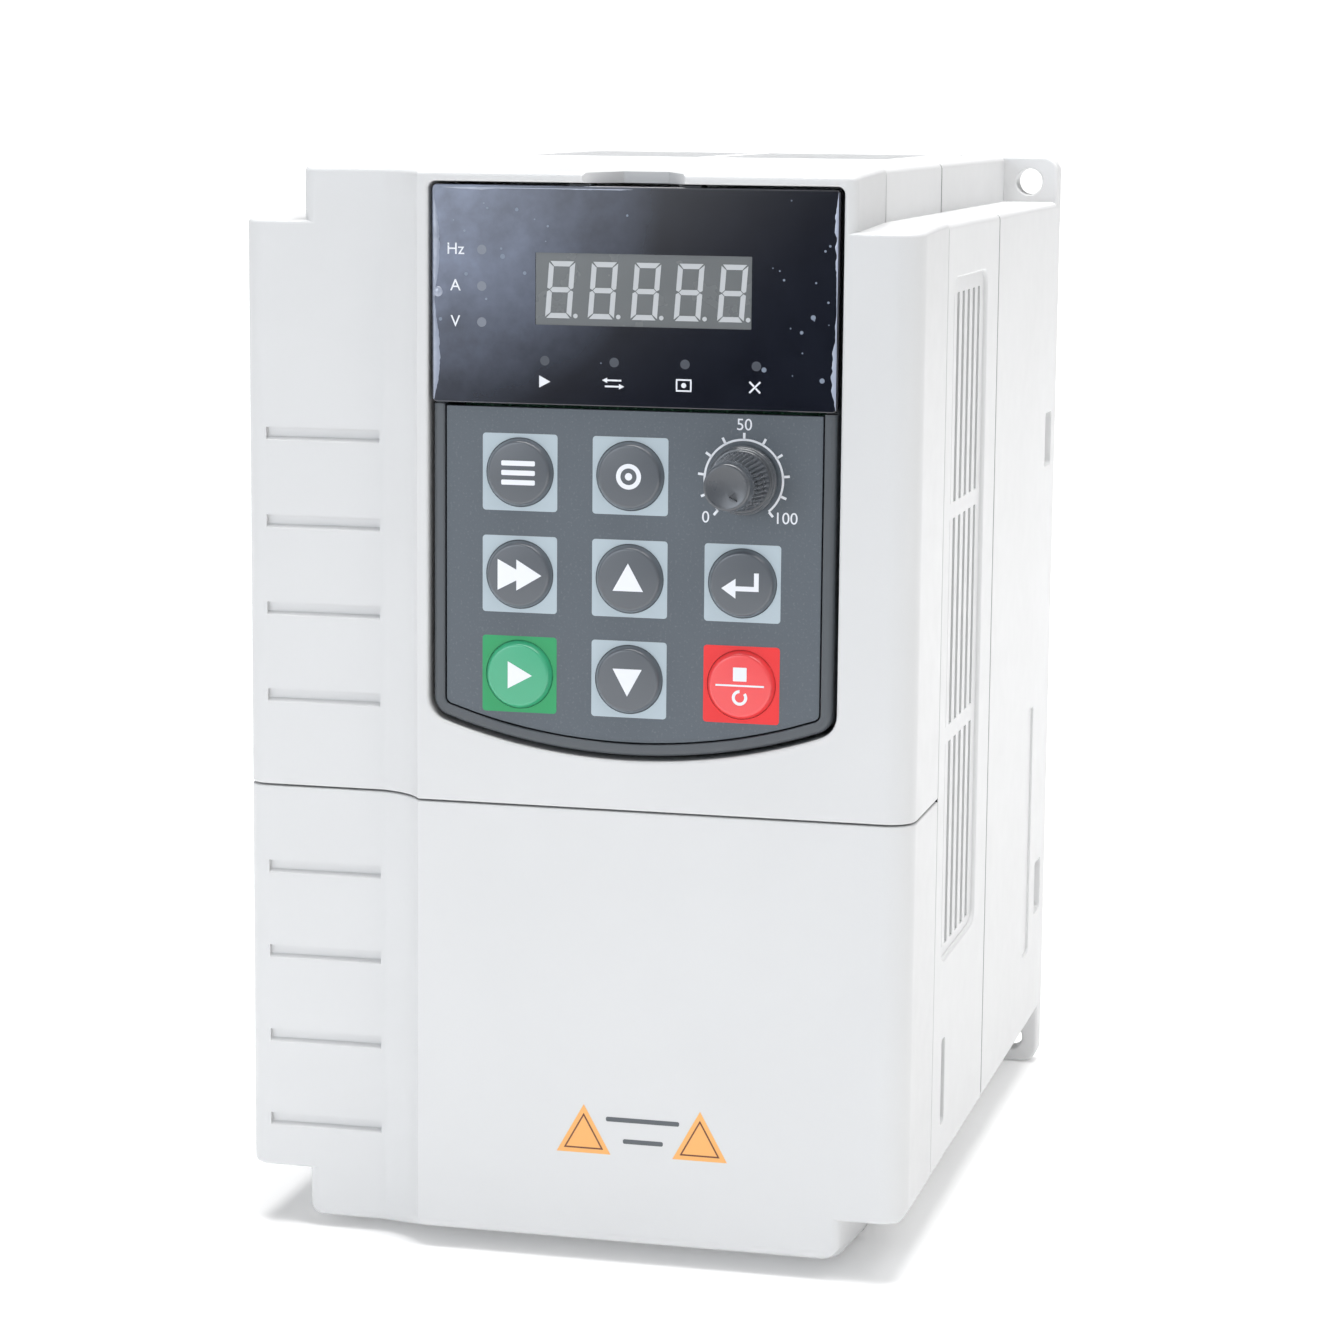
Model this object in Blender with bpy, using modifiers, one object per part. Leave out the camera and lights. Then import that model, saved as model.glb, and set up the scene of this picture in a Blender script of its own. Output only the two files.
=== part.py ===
"""Variable frequency drive for a three-phase motor, wall mounted, with a pull-out keypad.

Frame: X to the right, the front faces -Y, Z up. The origin is the middle of the box that the whole
drive fills, on its underside, so the drive stands on Z = 0. Every size below is in millimetres, and
a place in front of the wall is its depth, counted from the back face that lies on the wall.
"""

import math

import bmesh
import bpy
from mathutils import Matrix, Vector

MM = 0.001
GAP = 0.3  # clearance between neighbouring pieces

# Casing
WIDTH = 118.0
SIDE = WIDTH / 2
HEIGHT = 185.0
CORE_HALF = 48.2  # half width of the middle, which is taller than the two side wings
WING_LOW = 10.3
WING_HIGH = 176.0
WALL = 2.5
REAR_DEPTH = 76.5  # joint between the rear chassis and the middle housing
COVER_DEPTH = 131.5  # joint between the middle housing and the front covers
WING_FACE = 150.0  # depth of the lower, grooved strip on the left of the covers
FACE = 156.0  # depth of the raised front face
SPLIT_Z = 78.25  # joint between the upper cover and the terminal cover
TOP_DROP = 0.9  # how far the covers' top falls towards the front
BOTTOM_RISE = 3.6
FLANGE = 5.0  # back plate that carries the four mounting ears
MOUNT_X, MOUNT_Z_LOW, MOUNT_Z_HIGH, MOUNT_HOLE = 53.3, 5.0, 180.0, 5.2
OUT = 5.0  # how far a cutter runs past the face it opens

# Side vents, in three rows of upright slots on a sunk panel
PANEL_BACK, PANEL_FRONT, PANEL_LOW, PANEL_HIGH, PANEL_DEEP = 89.5, 124.5, 48.2, 166.5, 0.8
VENT_ROWS, VENT_TALL = (50.0, 89.0, 127.8), 36.0
VENT_FIRST, VENT_PITCH, VENT_COUNT, VENT_WIDE = 94.5, 5.33, 6, 2.4

# Front cover relief
STEP_X = -34.0  # where the left strip starts to rise towards the raised face
COVE_RADIUS = 8.9
GROOVE_PITCH, GROOVE_WIDTH, GROOVE_DEEP = 15.05, 2.0, 0.8
GROOVE_LEFT = -54.7

# Keypad
PAD_X = 11.0  # middle of the keypad
PAD_HALF = 35.1
PAD_TOP, PAD_BASE, PAD_BOW = 182.4, 86.8, 100.0  # upper edge, lowest point and radius of the lower edge
PAD_BACK = 141.4
PAD_FLOOR = 2.4  # thickness of the pocket's floor, and of the keypad housing's own
PAD_BOARD = 146.8  # depth of the keypad board's front face
PAD_GAP = 0.8
RIM = 2.0
PLATE_FACE = 155.2
PLATE_THICK = 1.3
WINDOW_LOW, WINDOW_HIGH, WINDOW_FACE, WINDOW_THICK = 145.9, 181.9, 155.8, 2.0
KEY_COLUMNS = (-8.3, 10.65, 29.85)
KEY_ROWS = (134.5, 117.4, 100.5)
KEY_RADIUS = 5.7
KEY_HOLE = 6.0
KEY_BACK, KEY_TOP = 151.6, 156.4
KNOB_FACE = 168.0
SHAFT_RADIUS = 3.0

# Cooling and power parts
BASE_LOW, BASE_HIGH = 66.0, 74.0  # depths of the heatsink's base plate
FIN_COUNT, FIN_PITCH, FIN_THICK, FIN_LOW, FIN_HIGH = 13, 7.0, 2.0, 13.5, 149.0
FAN_SIDE, FAN_DEPTH, FAN_Z, FAN_HEIGHT = 60.0, 35.5, 158.4, 20.0
HUB_RADIUS, BLADES, BLADE_PITCH = 12.5, 7, 38.0
POWER_BOARD, CONTROL_BOARD, BOARD_THICK = 87.0, 121.0, 1.6
TERMINALS, TERMINAL_PITCH, TERMINAL_Z = 9, 9.6, 30.0
ENTRY_X, ENTRY_DEPTH, ENTRY_RADIUS = 28.0, 105.0, 10.0  # cable entries in the bottom

WALL_Y = KNOB_FACE / 2  # the wall's place, half the drive's whole depth behind the origin
PARTS = "variable_frequency_drive"
CUTTERS = "cutters"


def clear_scene():
    for item in list(bpy.data.objects):
        bpy.data.objects.remove(item)
    for name in (PARTS, CUTTERS):
        group = bpy.data.collections.new(name)
        bpy.context.scene.collection.children.link(group)
    return bpy.data.collections[PARTS], bpy.data.collections[CUTTERS]


parts, cutters = clear_scene()


def material(name, colour, roughness, metallic=0.0):
    made = bpy.data.materials.new(name)
    made.use_nodes = True
    shader = made.node_tree.nodes["Principled BSDF"]
    shader.inputs["Base Color"].default_value = (*colour, 1.0)
    shader.inputs["Roughness"].default_value = roughness
    shader.inputs["Metallic"].default_value = metallic
    return made


CASE = material("case_plastic", (0.80, 0.81, 0.82), 0.45)
GREY = material("keypad_plastic", (0.13, 0.14, 0.16), 0.45)
WINDOW = material("window_plastic", (0.02, 0.03, 0.05), 0.08)
DARK = material("dark_plastic", (0.05, 0.055, 0.06), 0.5)
KEY = material("key_plastic", (0.10, 0.11, 0.13), 0.4)
GREEN = material("green_plastic", (0.03, 0.42, 0.20), 0.4)
RED = material("red_plastic", (0.72, 0.03, 0.04), 0.4)
ALUMINIUM = material("aluminium", (0.78, 0.78, 0.80), 0.35, 1.0)
STEEL = material("plated_steel", (0.62, 0.62, 0.62), 0.3, 1.0)
BOARD = material("circuit_board", (0.02, 0.20, 0.08), 0.5)
RUBBER = material("rubber", (0.03, 0.03, 0.03), 0.8)
SLEEVE = material("capacitor_sleeve", (0.02, 0.03, 0.10), 0.35)
BLOCK = material("terminal_plastic", (0.02, 0.02, 0.02), 0.5)


def at(x, depth, z):
    return Vector((x, WALL_Y - depth, z)) * MM


def keep(mesh, name, finish=None):
    """Makes an object of a mesh: a part when it has a finish, and otherwise a cutter."""
    item = bpy.data.objects.new(name, mesh)
    if finish is None:
        cutters.objects.link(item)
        item.hide_render = True
        item.display_type = "WIRE"
    else:
        parts.objects.link(item)
        mesh.materials.clear()
        mesh.materials.append(finish)
    return item


def boxes(name, spans, finish=None):
    """One mesh with a box for each span (x low, x high, depth low, depth high, z low, z high)."""
    shape = bmesh.new()
    for x0, x1, d0, d1, z0, z1 in spans:
        middle = at((x0 + x1) / 2, (d0 + d1) / 2, (z0 + z1) / 2)
        size = Matrix.Diagonal(((x1 - x0) * MM, (d1 - d0) * MM, (z1 - z0) * MM, 1.0))
        bmesh.ops.create_cube(shape, size=1.0, matrix=Matrix.Translation(middle) @ size)
    mesh = bpy.data.meshes.new(name)
    shape.to_mesh(mesh)
    shape.free()
    return keep(mesh, name, finish)


def cylinders(name, rods, finish=None, sides=24):
    """One mesh with a cylinder along the depth for each rod (x, z, radius, depth low, depth high)."""
    shape = bmesh.new()
    turn = Matrix.Rotation(math.pi / 2, 4, "X")
    for x, z, radius, d0, d1 in rods:
        place = Matrix.Translation(at(x, (d0 + d1) / 2, z)) @ turn
        bmesh.ops.create_cone(shape, cap_ends=True, segments=sides, radius1=radius * MM,
                              radius2=radius * MM, depth=(d1 - d0) * MM, matrix=place)
    mesh = bpy.data.meshes.new(name)
    shape.to_mesh(mesh)
    shape.free()
    return keep(mesh, name, finish)


def upright(name, x, depth, radius, z0, z1, finish=None, sides=24):
    """A cylinder standing along Z."""
    shape = bmesh.new()
    place = Matrix.Translation(at(x, depth, (z0 + z1) / 2))
    bmesh.ops.create_cone(shape, cap_ends=True, segments=sides, radius1=radius * MM,
                          radius2=radius * MM, depth=(z1 - z0) * MM, matrix=place)
    mesh = bpy.data.meshes.new(name)
    shape.to_mesh(mesh)
    shape.free()
    return keep(mesh, name, finish)


def rounded(corners, steps=4):
    """A closed outline of the corners (a, b, radius), with an arc where the radius isn't zero."""
    outline = []
    for i, (a, b, radius) in enumerate(corners):
        here = Vector((a, b))
        if radius == 0:
            outline.append((a, b))
            continue
        back = (Vector(corners[i - 1][:2]) - here).normalized()
        ahead = (Vector(corners[(i + 1) % len(corners)][:2]) - here).normalized()
        half = back.angle(ahead) / 2
        centre = here + (back + ahead).normalized() * radius / math.sin(half)
        first = here + back * radius / math.tan(half) - centre
        last = here + ahead * radius / math.tan(half) - centre
        for step in range(steps + 1):
            spoke = first.slerp(last, step / steps).normalized() * radius
            outline.append(tuple(centre + spoke))
    return outline


# Where an outline's own two axes and its thickness lie: seen from the front, above or the side
LAYS = {
    "front": Matrix(((1, 0, 0), (0, 0, -1), (0, 1, 0))),
    "plan": Matrix(((1, 0, 0), (0, -1, 0), (0, 0, -1))),
    "side": Matrix(((0, 0, -1), (-1, 0, 0), (0, 1, 0))),
}


def prism(name, outline, lay, low, high, finish=None):
    """A flat outline made solid from low to high: front is X and Z, plan X and depth, side depth and Z."""
    curve = bpy.data.curves.new(name, "CURVE")
    curve.dimensions = "2D"
    curve.fill_mode = "BOTH"
    curve.extrude = (high - low) / 2 * MM
    spline = curve.splines.new("POLY")
    spline.points.add(len(outline) - 1)
    for point, (a, b) in zip(spline.points, outline):
        point.co = (a * MM, b * MM, 0.0, 1.0)
    spline.use_cyclic_u = True
    guide = bpy.data.objects.new(name + "_outline", curve)
    middle = (low + high) / 2 * MM
    place = {"front": (0, WALL_Y * MM - middle, 0), "plan": (0, WALL_Y * MM, middle),
             "side": (middle, WALL_Y * MM, 0)}[lay]
    guide.matrix_world = Matrix.Translation(place) @ LAYS[lay].to_4x4()
    cutters.objects.link(guide)
    bpy.context.view_layer.update()
    mesh = bpy.data.meshes.new_from_object(guide.evaluated_get(bpy.context.evaluated_depsgraph_get()))
    mesh.transform(guide.matrix_world)
    bpy.data.objects.remove(guide)
    shape = bmesh.new()
    shape.from_mesh(mesh)
    bmesh.ops.remove_doubles(shape, verts=shape.verts, dist=0.001 * MM)
    bmesh.ops.dissolve_limit(shape, angle_limit=math.radians(0.1), verts=shape.verts, edges=shape.edges)
    bmesh.ops.recalc_face_normals(shape, faces=shape.faces)
    shape.to_mesh(mesh)
    shape.free()
    return keep(mesh, name, finish)


def turned(name, profile, place, finish=None, steps=20):
    """A body turned about the local Z axis from (radius, height) points, top to bottom."""
    shape = bmesh.new()
    ring = profile[0] == profile[-1]
    points = [shape.verts.new((radius * MM, 0.0, height * MM)) for radius, height in profile[ring:]]
    for first, second in zip(points, points[1:] + points[:ring]):
        shape.edges.new((first, second))
    mesh = bpy.data.meshes.new(name)
    shape.to_mesh(mesh)
    shape.free()
    item = keep(mesh, name, finish)
    item.matrix_world = place
    screw = item.modifiers.new("turn", "SCREW")
    screw.axis = "Z"
    screw.steps = steps
    screw.render_steps = steps
    screw.use_merge_vertices = True
    screw.merge_threshold = 0.0001 * MM
    return item


def facing_front(x, depth, z):
    """A frame whose local Z points out of the front, with its origin at the given place."""
    return Matrix.Translation(at(x, depth, z)) @ Matrix.Rotation(math.pi / 2, 4, "X")


SHELLS = ("rear_chassis", "mid_housing")  # long coplanar walls that the EXACT solver leaves open


def cut(item, cutter, operation="DIFFERENCE"):
    change = item.modifiers.new(cutter.name, "BOOLEAN")
    change.operation = operation
    change.object = cutter
    change.solver = "MANIFOLD" if item.name in SHELLS else "EXACT"


def join(item, piece):
    cut(item, piece, "UNION")


def smooth(item, angle=35):
    item.data.shade_smooth()
    item.data.set_sharp_from_angle(angle=math.radians(angle))


# ---------------------------------------------------------------- casing

def core_outline(inset, corner):
    """The drive seen from the front: a tall core with a shorter wing on each side."""
    side, core = SIDE - inset, CORE_HALF - inset
    low, high = WING_LOW + inset, WING_HIGH - inset
    right = [(core, inset, corner), (core, low, 0), (side, low, corner), (side, high, corner),
             (core, high, 0), (core, HEIGHT - inset, corner)]
    left = [(-x, z, r) for x, z, r in reversed(right)]
    return rounded(right + left, 3)


def rear_chassis():
    body = prism("rear_chassis", core_outline(0, 1.5), "front", 0, REAR_DEPTH, CASE)
    plate = rounded([(-SIDE, 0, 3), (SIDE, 0, 3), (SIDE, HEIGHT, 3), (-SIDE, HEIGHT, 3)], 3)
    join(body, prism("ear_plate", plate, "front", 0, FLANGE))
    cut(body, prism("rear_hollow", core_outline(WALL, 0), "front", FLANGE, REAR_DEPTH + OUT))
    cut(body, boxes("fin_window", [(-43, 43, -OUT, FLANGE + 1, FIN_LOW - 0.5, FIN_HIGH + 1)]))
    cut(body, boxes("fan_port", [(-40.4, 40.4, FLANGE + 0.2, 67.4, HEIGHT - 6, HEIGHT + OUT)]))
    inlets = [(x, x + 36, d, d + 4, -OUT, WALL + 1) for x in (-39, 3) for d in range(10, 62, 8)]
    cut(body, boxes("air_inlets", inlets))
    holes = [(x, z, MOUNT_HOLE / 2, -OUT, FLANGE + OUT)
             for x in (-MOUNT_X, MOUNT_X) for z in (MOUNT_Z_LOW, MOUNT_Z_HIGH)]
    cut(body, cylinders("ear_holes", holes, sides=20))
    reliefs = [(20.8, 27.7, 27, 77, 0.6), (6, 14, 124, 134.6, 1.2), (6, 14, 33, 43.5, 1.2)]
    marks = [(side * SIDE - deep, side * SIDE + deep, d0, d1, z0, z1)
             for side in (-1, 1) for d0, d1, z0, z1, deep in reliefs]
    cut(body, boxes("side_reliefs", marks))


def heatsink():
    """A base plate across the drive with upright fins behind it, cut short below the fan."""
    body = boxes("heatsink", [(-45.2, 45.2, BASE_LOW, BASE_HIGH, 8, FAN_Z + FAN_HEIGHT - 0.4)], ALUMINIUM)
    places = [(i - (FIN_COUNT - 1) / 2) * FIN_PITCH for i in range(FIN_COUNT)]
    fins = [(x - FIN_THICK / 2, x + FIN_THICK / 2, 3, BASE_LOW + 1, FIN_LOW, FIN_HIGH) for x in places]
    join(body, boxes("fins", fins))


def mid_housing():
    front = COVER_DEPTH - GAP
    body = prism("mid_housing", core_outline(0, 1.5), "front", REAR_DEPTH + GAP, front, CASE)
    cut(body, prism("mid_hollow", core_outline(WALL, 0), "front", REAR_DEPTH - OUT, front + OUT))
    panel = rounded([(PANEL_BACK, PANEL_LOW, 3), (PANEL_FRONT, PANEL_LOW, 3),
                     (PANEL_FRONT, PANEL_HIGH, 3), (PANEL_BACK, PANEL_HIGH, 3)], 3)
    bottom = SIDE - PANEL_DEEP
    cut(body, prism("vent_panel_right", panel, "side", bottom, SIDE + OUT))
    cut(body, prism("vent_panel_left", panel, "side", -SIDE - OUT, -bottom))
    depths = [VENT_FIRST + VENT_PITCH * i for i in range(VENT_COUNT)]
    slots = [(-SIDE - OUT, SIDE + OUT, d - VENT_WIDE / 2, d + VENT_WIDE / 2, z, z + VENT_TALL)
             for z in VENT_ROWS for d in depths]
    cut(body, boxes("vents", slots))
    catches = [(side * SIDE - 4, side * SIDE + 4, 118.5, 122.2, 18.6, 33.8) for side in (-1, 1)]
    cut(body, boxes("catch_slots", catches))
    cut(body, boxes("cable_port", [(-41, 41, ENTRY_DEPTH - 20, ENTRY_DEPTH + 20, -OUT, WALL + 1)]))


def cover_outline(inset):
    """The covers seen from above: left strip, concave rise, raised face and rounded edges."""
    side = SIDE - inset
    back = COVER_DEPTH - (3 if inset else 0)  # a hollow runs out through the open back
    strip, face = WING_FACE - inset, FACE - inset
    left = rounded([(-side, back, 0), (-side, strip, max(4.0 - inset, 1.0)), (STEP_X, strip, 0)])[:-1]
    centre = (STEP_X, strip + COVE_RADIUS)
    reach = math.acos(1 - (FACE - WING_FACE) / COVE_RADIUS)
    shift = inset * 0.6
    cove = [(centre[0] + shift + COVE_RADIUS * math.sin(reach * i / 6),
             centre[1] - COVE_RADIUS * math.cos(reach * i / 6)) for i in range(7)]
    right = rounded([(STEP_X, face, 0), (side, face, max(4.6 - inset, 1.0)), (side, back, 0)])[1:]
    return left + cove + right


def grooves(name, first, count):
    """Level bands cut into the left strip, one below the other."""
    centres = [first - i * GROOVE_PITCH for i in range(count)]
    return boxes(name, [(GROOVE_LEFT, STEP_X - 0.3, WING_FACE - GROOVE_DEEP, WING_FACE + OUT,
                         z - GROOVE_WIDTH / 2, z + GROOVE_WIDTH / 2) for z in centres])


def slope(level, change, away):
    """What comes off the covers' top or bottom, from the side: level at the casing, tilted in front."""
    back, front = COVER_DEPTH - 1, FACE + OUT
    tilt = change * (front - back) / (FACE - COVER_DEPTH)
    return [(back, level), (front, level + tilt), (front, level + away), (back, level + away)]


def keypad_outline(inset, top):
    """The keypad seen from the front: straight sides and a bowed lower edge."""
    half, bow = PAD_HALF - inset, PAD_BOW - inset
    corner = max(4.2 - inset, 1.0)
    middle = PAD_BASE + PAD_BOW

    def low(x):
        return middle - math.sqrt(bow * bow - x * x)

    reach = half - 5
    edge = [(PAD_X + x, low(x), 0) for x in (-reach + 2 * reach * i / 10 for i in range(11))]
    return rounded([(PAD_X - half, top, 0), (PAD_X - half, low(half), corner)] + edge
                   + [(PAD_X + half, low(half), corner), (PAD_X + half, top, 0)])


def upper_cover():
    low = SPLIT_Z + GAP / 2
    body = prism("upper_cover", cover_outline(0), "plan", low, HEIGHT, CASE)
    cut(body, prism("top_slope", slope(HEIGHT, -TOP_DROP, 9), "side", -80, 80))
    behind, before, inner = COVER_DEPTH - 9, FACE + OUT, CORE_HALF - WALL
    cut(body, boxes("top_notches", [(-70, -CORE_HALF, behind, before, WING_HIGH, HEIGHT + OUT),
                                    (CORE_HALF, 70, behind, before, WING_HIGH, HEIGHT + OUT)]))
    cut(body, prism("cover_hollow", cover_outline(WALL), "plan", low + WALL, WING_HIGH - WALL))
    cut(body, boxes("top_hollow", [(-inner, PAD_X - PAD_HALF - 3, COVER_DEPTH - OUT,
                                    WING_FACE - WALL, WING_HIGH - WALL - 1, HEIGHT - WALL)]))
    half = PAD_HALF + 2.0
    join(body, boxes("pocket_block", [(PAD_X - half, PAD_X + half, PAD_BACK - PAD_FLOOR, FACE - 1,
                                       PAD_BASE - 2, HEIGHT - 2)]))
    cut(body, prism("pocket", keypad_outline(0, PAD_TOP), "front", PAD_BACK - GAP, before))
    cut(body, boxes("plug_port", [(PAD_X - 8, PAD_X + 8, PAD_BACK - 9, PAD_BACK + 2, 119, 131)]))
    notch = rounded([(PAD_X - 8.5, FACE + 1, 0), (PAD_X - 3.4, FACE - 5, 1), (PAD_X + 3.4, FACE - 5, 1),
                     (PAD_X + 8.5, FACE + 1, 0)], 3)
    cut(body, prism("finger_notch", notch, "plan", PAD_TOP - 3, HEIGHT + OUT))
    cut(body, grooves("upper_grooves", 139.3, 4))


def terminal_cover():
    high = SPLIT_Z - GAP / 2
    body = prism("terminal_cover", cover_outline(0), "plan", 0, high, CASE)
    cut(body, prism("bottom_slope", slope(0, BOTTOM_RISE, -9), "side", -80, 80))
    behind, before, inner = COVER_DEPTH - 9, FACE + OUT, CORE_HALF - WALL
    cut(body, boxes("bottom_notches", [(-70, -CORE_HALF, behind, before, -9, WING_LOW),
                                       (CORE_HALF, 70, behind, before, -9, WING_LOW)]))
    cut(body, prism("bay_hollow", cover_outline(WALL), "plan", WING_LOW + WALL, high + OUT))
    cut(body, boxes("bay_floor", [(-inner, inner, COVER_DEPTH - OUT, WING_FACE - WALL,
                                   BOTTOM_RISE + WALL, WING_LOW + WALL + 1)]))
    for name, side in (("clip_left", -1), ("clip_right", 1)):
        outline = [(54.0, COVER_DEPTH - 14), (56.0, COVER_DEPTH - 14), (56.0, COVER_DEPTH + 2),
                   (58.0, COVER_DEPTH + 2), (58.0, COVER_DEPTH + 6), (54.0, COVER_DEPTH + 6)]
        join(body, prism(name, [(side * x, d) for x, d in outline], "plan", 18, 34))
    cut(body, grooves("lower_grooves", 64.2, 4))


# ---------------------------------------------------------------- keypad

def keypad_housing():
    inset = PAD_GAP
    body = prism("keypad_housing", keypad_outline(inset, PAD_TOP - inset), "front", PAD_BACK,
                 PLATE_FACE + 0.3, GREY)
    cut(body, prism("keypad_hollow", keypad_outline(inset + RIM, PAD_TOP - 3.4), "front",
                    PAD_BACK + PAD_FLOOR, FACE + OUT))
    cut(body, boxes("window_seat", [(PAD_X - 50, PAD_X + 50, WINDOW_FACE - WINDOW_THICK - GAP, FACE + OUT,
                                     WINDOW_LOW - GAP, HEIGHT + OUT)]))
    cut(body, boxes("board_plug_port", [(PAD_X - 7.4, PAD_X + 7.4, PAD_BACK - 3, PAD_BACK + 3,
                                         119.6, 130.4)]))


def display_window():
    half = PAD_HALF - 0.4
    outline = rounded([(PAD_X - half, WINDOW_LOW, 0.6), (PAD_X + half, WINDOW_LOW, 0.6),
                       (PAD_X + half, WINDOW_HIGH, 0.6), (PAD_X - half, WINDOW_HIGH, 0.6)], 2)
    prism("display_window", outline, "front", WINDOW_FACE - WINDOW_THICK, WINDOW_FACE, WINDOW)


def keypad_faceplate():
    outline = keypad_outline(PAD_GAP + RIM + GAP, WINDOW_LOW - 2 * GAP)
    body = prism("keypad_faceplate", outline, "front", PLATE_FACE - PLATE_THICK, PLATE_FACE, GREY)
    holes = [(KEY_COLUMNS[c], KEY_ROWS[r], KEY_HOLE, PLATE_FACE - 9, PLATE_FACE + 9)
             for r in range(3) for c in range(3) if (r, c) != (0, 2)]
    holes.append((KEY_COLUMNS[2], KEY_ROWS[0], 4.3, PLATE_FACE - 9, PLATE_FACE + 9))
    cut(body, cylinders("key_holes", holes, sides=20))


def key(name, column, row, finish):
    """A round domed button with a flange behind the face plate that keeps it in."""
    top, plate = KEY_TOP - KEY_BACK, PLATE_FACE - PLATE_THICK - GAP - KEY_BACK
    rise = PLATE_FACE + 0.2 - KEY_BACK
    flange = KEY_RADIUS + 0.8
    profile = [(0, top), (3.2, top - 0.12), (5.0, top - 0.5), (KEY_RADIUS, rise), (KEY_RADIUS, plate),
               (flange, plate), (flange, plate - 0.8), (3.0, plate - 0.8), (3.0, 0), (0, 0)]
    place = facing_front(KEY_COLUMNS[column], KEY_BACK, KEY_ROWS[row])
    smooth(turned(name, profile, place, finish))


def keys():
    key("key_program", 0, 0, KEY)
    key("key_function", 1, 0, KEY)
    key("key_shift", 0, 1, KEY)
    key("key_up", 1, 1, KEY)
    key("key_enter", 2, 1, KEY)
    key("key_run", 0, 2, GREEN)
    key("key_down", 1, 2, KEY)
    key("key_stop", 2, 2, RED)


def speed_knob():
    """A tapered knob on a flange, open at the back for its shaft."""
    back = PLATE_FACE + 0.5
    tall = KNOB_FACE - back
    bore, bore_deep = SHAFT_RADIUS + 0.06, 8.0
    profile = [(0, tall), (3.5, tall), (3.9, tall - 0.4), (5.0, 2.2), (5.0, 1.6), (5.7, 1.2), (5.7, 0),
               (bore, 0), (bore, bore_deep), (0, bore_deep)]
    place = facing_front(KEY_COLUMNS[2], back, KEY_ROWS[0])
    smooth(turned("speed_knob", profile, place, GREY, steps=24))


def potentiometer():
    x, z = KEY_COLUMNS[2], KEY_ROWS[0]
    shaft = [(0, 16.0), (SHAFT_RADIUS, 16.0), (SHAFT_RADIUS, 0), (0, 0)]
    smooth(turned("potentiometer_shaft", shaft, facing_front(x, 147.5, z), ALUMINIUM, steps=16))
    body = boxes("potentiometer", [(x - 6, x + 6, 147.1, 151.0, z - 6, z + 6)], STEEL)
    join(body, cylinders("bushing", [(x, z, 3.9, 150.5, 155.3)], sides=16))
    cut(body, cylinders("shaft_bore", [(x, z, SHAFT_RADIUS + 0.25, 147.3, 160)], sides=16))


def keypad_board():
    back = PAD_BOARD - BOARD_THICK
    body = boxes("keypad_board", [(PAD_X - 31.5, PAD_X + 31.5, back, PAD_BOARD, 96.5, 177)], BOARD)
    leds = [(-14.8, z) for z in (171.2, 165.2, 159.2)] + [(x, 153.2) for x in (-3.9, 7.9, 19.9, 31.9)]
    join(body, boxes("leds", [(x - 1, x + 1, PAD_BOARD - 0.5, PAD_BOARD + 2.4, z - 1, z + 1)
                              for x, z in leds]))
    boxes("keypad_plug", [(PAD_X - 6.5, PAD_X + 6.5, 134.6, back - GAP, 120.5, 129.5)], DARK)


def display_module():
    boxes("display_module", [(-5.8, 31.0, PAD_BOARD + GAP, 152.9, 158.9, 171.0)], DARK)


def key_mat():
    body = boxes("key_mat", [(PAD_X - 30.5, PAD_X + 30.5, PAD_BOARD + GAP, 149.6, 96.5, 143.5)], RUBBER)
    x, z = KEY_COLUMNS[2], KEY_ROWS[0]
    cut(body, boxes("potentiometer_gap", [(x - 7, x + 20, 140, 160, z - 7, z + 20)]))


# ---------------------------------------------------------------- power and control electronics

def electronics():
    power, control, thick = POWER_BOARD, CONTROL_BOARD, BOARD_THICK
    boxes("power_module", [(-31, 31, BASE_HIGH + GAP, power - GAP, 58, 110)], DARK)
    boxes("power_board", [(-55, 55, power, power + thick, 16, 170)], BOARD)
    boxes("control_board", [(-50, 50, control, control + thick, 62, 172)], BOARD)
    face = power + thick + GAP
    for i, x in enumerate((-34.5, -11.5, 11.5, 34.5)):
        cylinders(f"dc_capacitor_{i + 1}", [(x, 146, 11.0, face, face + 30)], SLEEVE, sides=20)
    boxes("supply_transformer", [(-48, -24, face, face + 22, 96, 122)], DARK)
    boxes("precharge_relay", [(-12, 8, face, face + 16, 100, 116)], BLOCK)
    boxes("current_sensor_left", [(8, 20, face, face + 18, 60, 80)], BLOCK)
    boxes("current_sensor_right", [(26, 38, face, face + 18, 60, 80)], BLOCK)
    boxes("control_terminal_block", [(-38, 38, control + thick + GAP, 133.6, 62.5, 72)], GREEN)
    for i, (x, z) in enumerate(((-47, 66), (47, 66), (-47, 166), (47, 166))):
        cylinders(f"board_post_{i + 1}", [(x, z, 2.9, face, control - GAP)], STEEL, sides=6)
    boxes("keypad_socket", [(PAD_X - 6.5, PAD_X + 6.5, control + thick + GAP, 134.3, 120.5, 129.5)], DARK)


def power_terminals():
    """A barrier strip: a base with an upstanding rib on each side of every screw."""
    face = POWER_BOARD + BOARD_THICK + GAP
    low, high = 108.0, 118.0
    half = TERMINALS * TERMINAL_PITCH / 2
    bottom, top = TERMINAL_Z - 8, TERMINAL_Z + 8
    block = boxes("power_terminal_block", [(-half - 1, half + 1, face, low, bottom, top)], BLOCK)
    ribs = [(x - 0.9, x + 0.9, low - 1, high, bottom + 1, top - 1)
            for x in (-half + i * TERMINAL_PITCH for i in range(TERMINALS + 1))]
    join(block, boxes("barriers", ribs))
    for i in range(TERMINALS):
        x = (i - (TERMINALS - 1) / 2) * TERMINAL_PITCH
        cylinders(f"terminal_screw_{i + 1}", [(x, TERMINAL_Z, 3.1, low + GAP, low + 3.2)], STEEL, sides=12)


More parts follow.
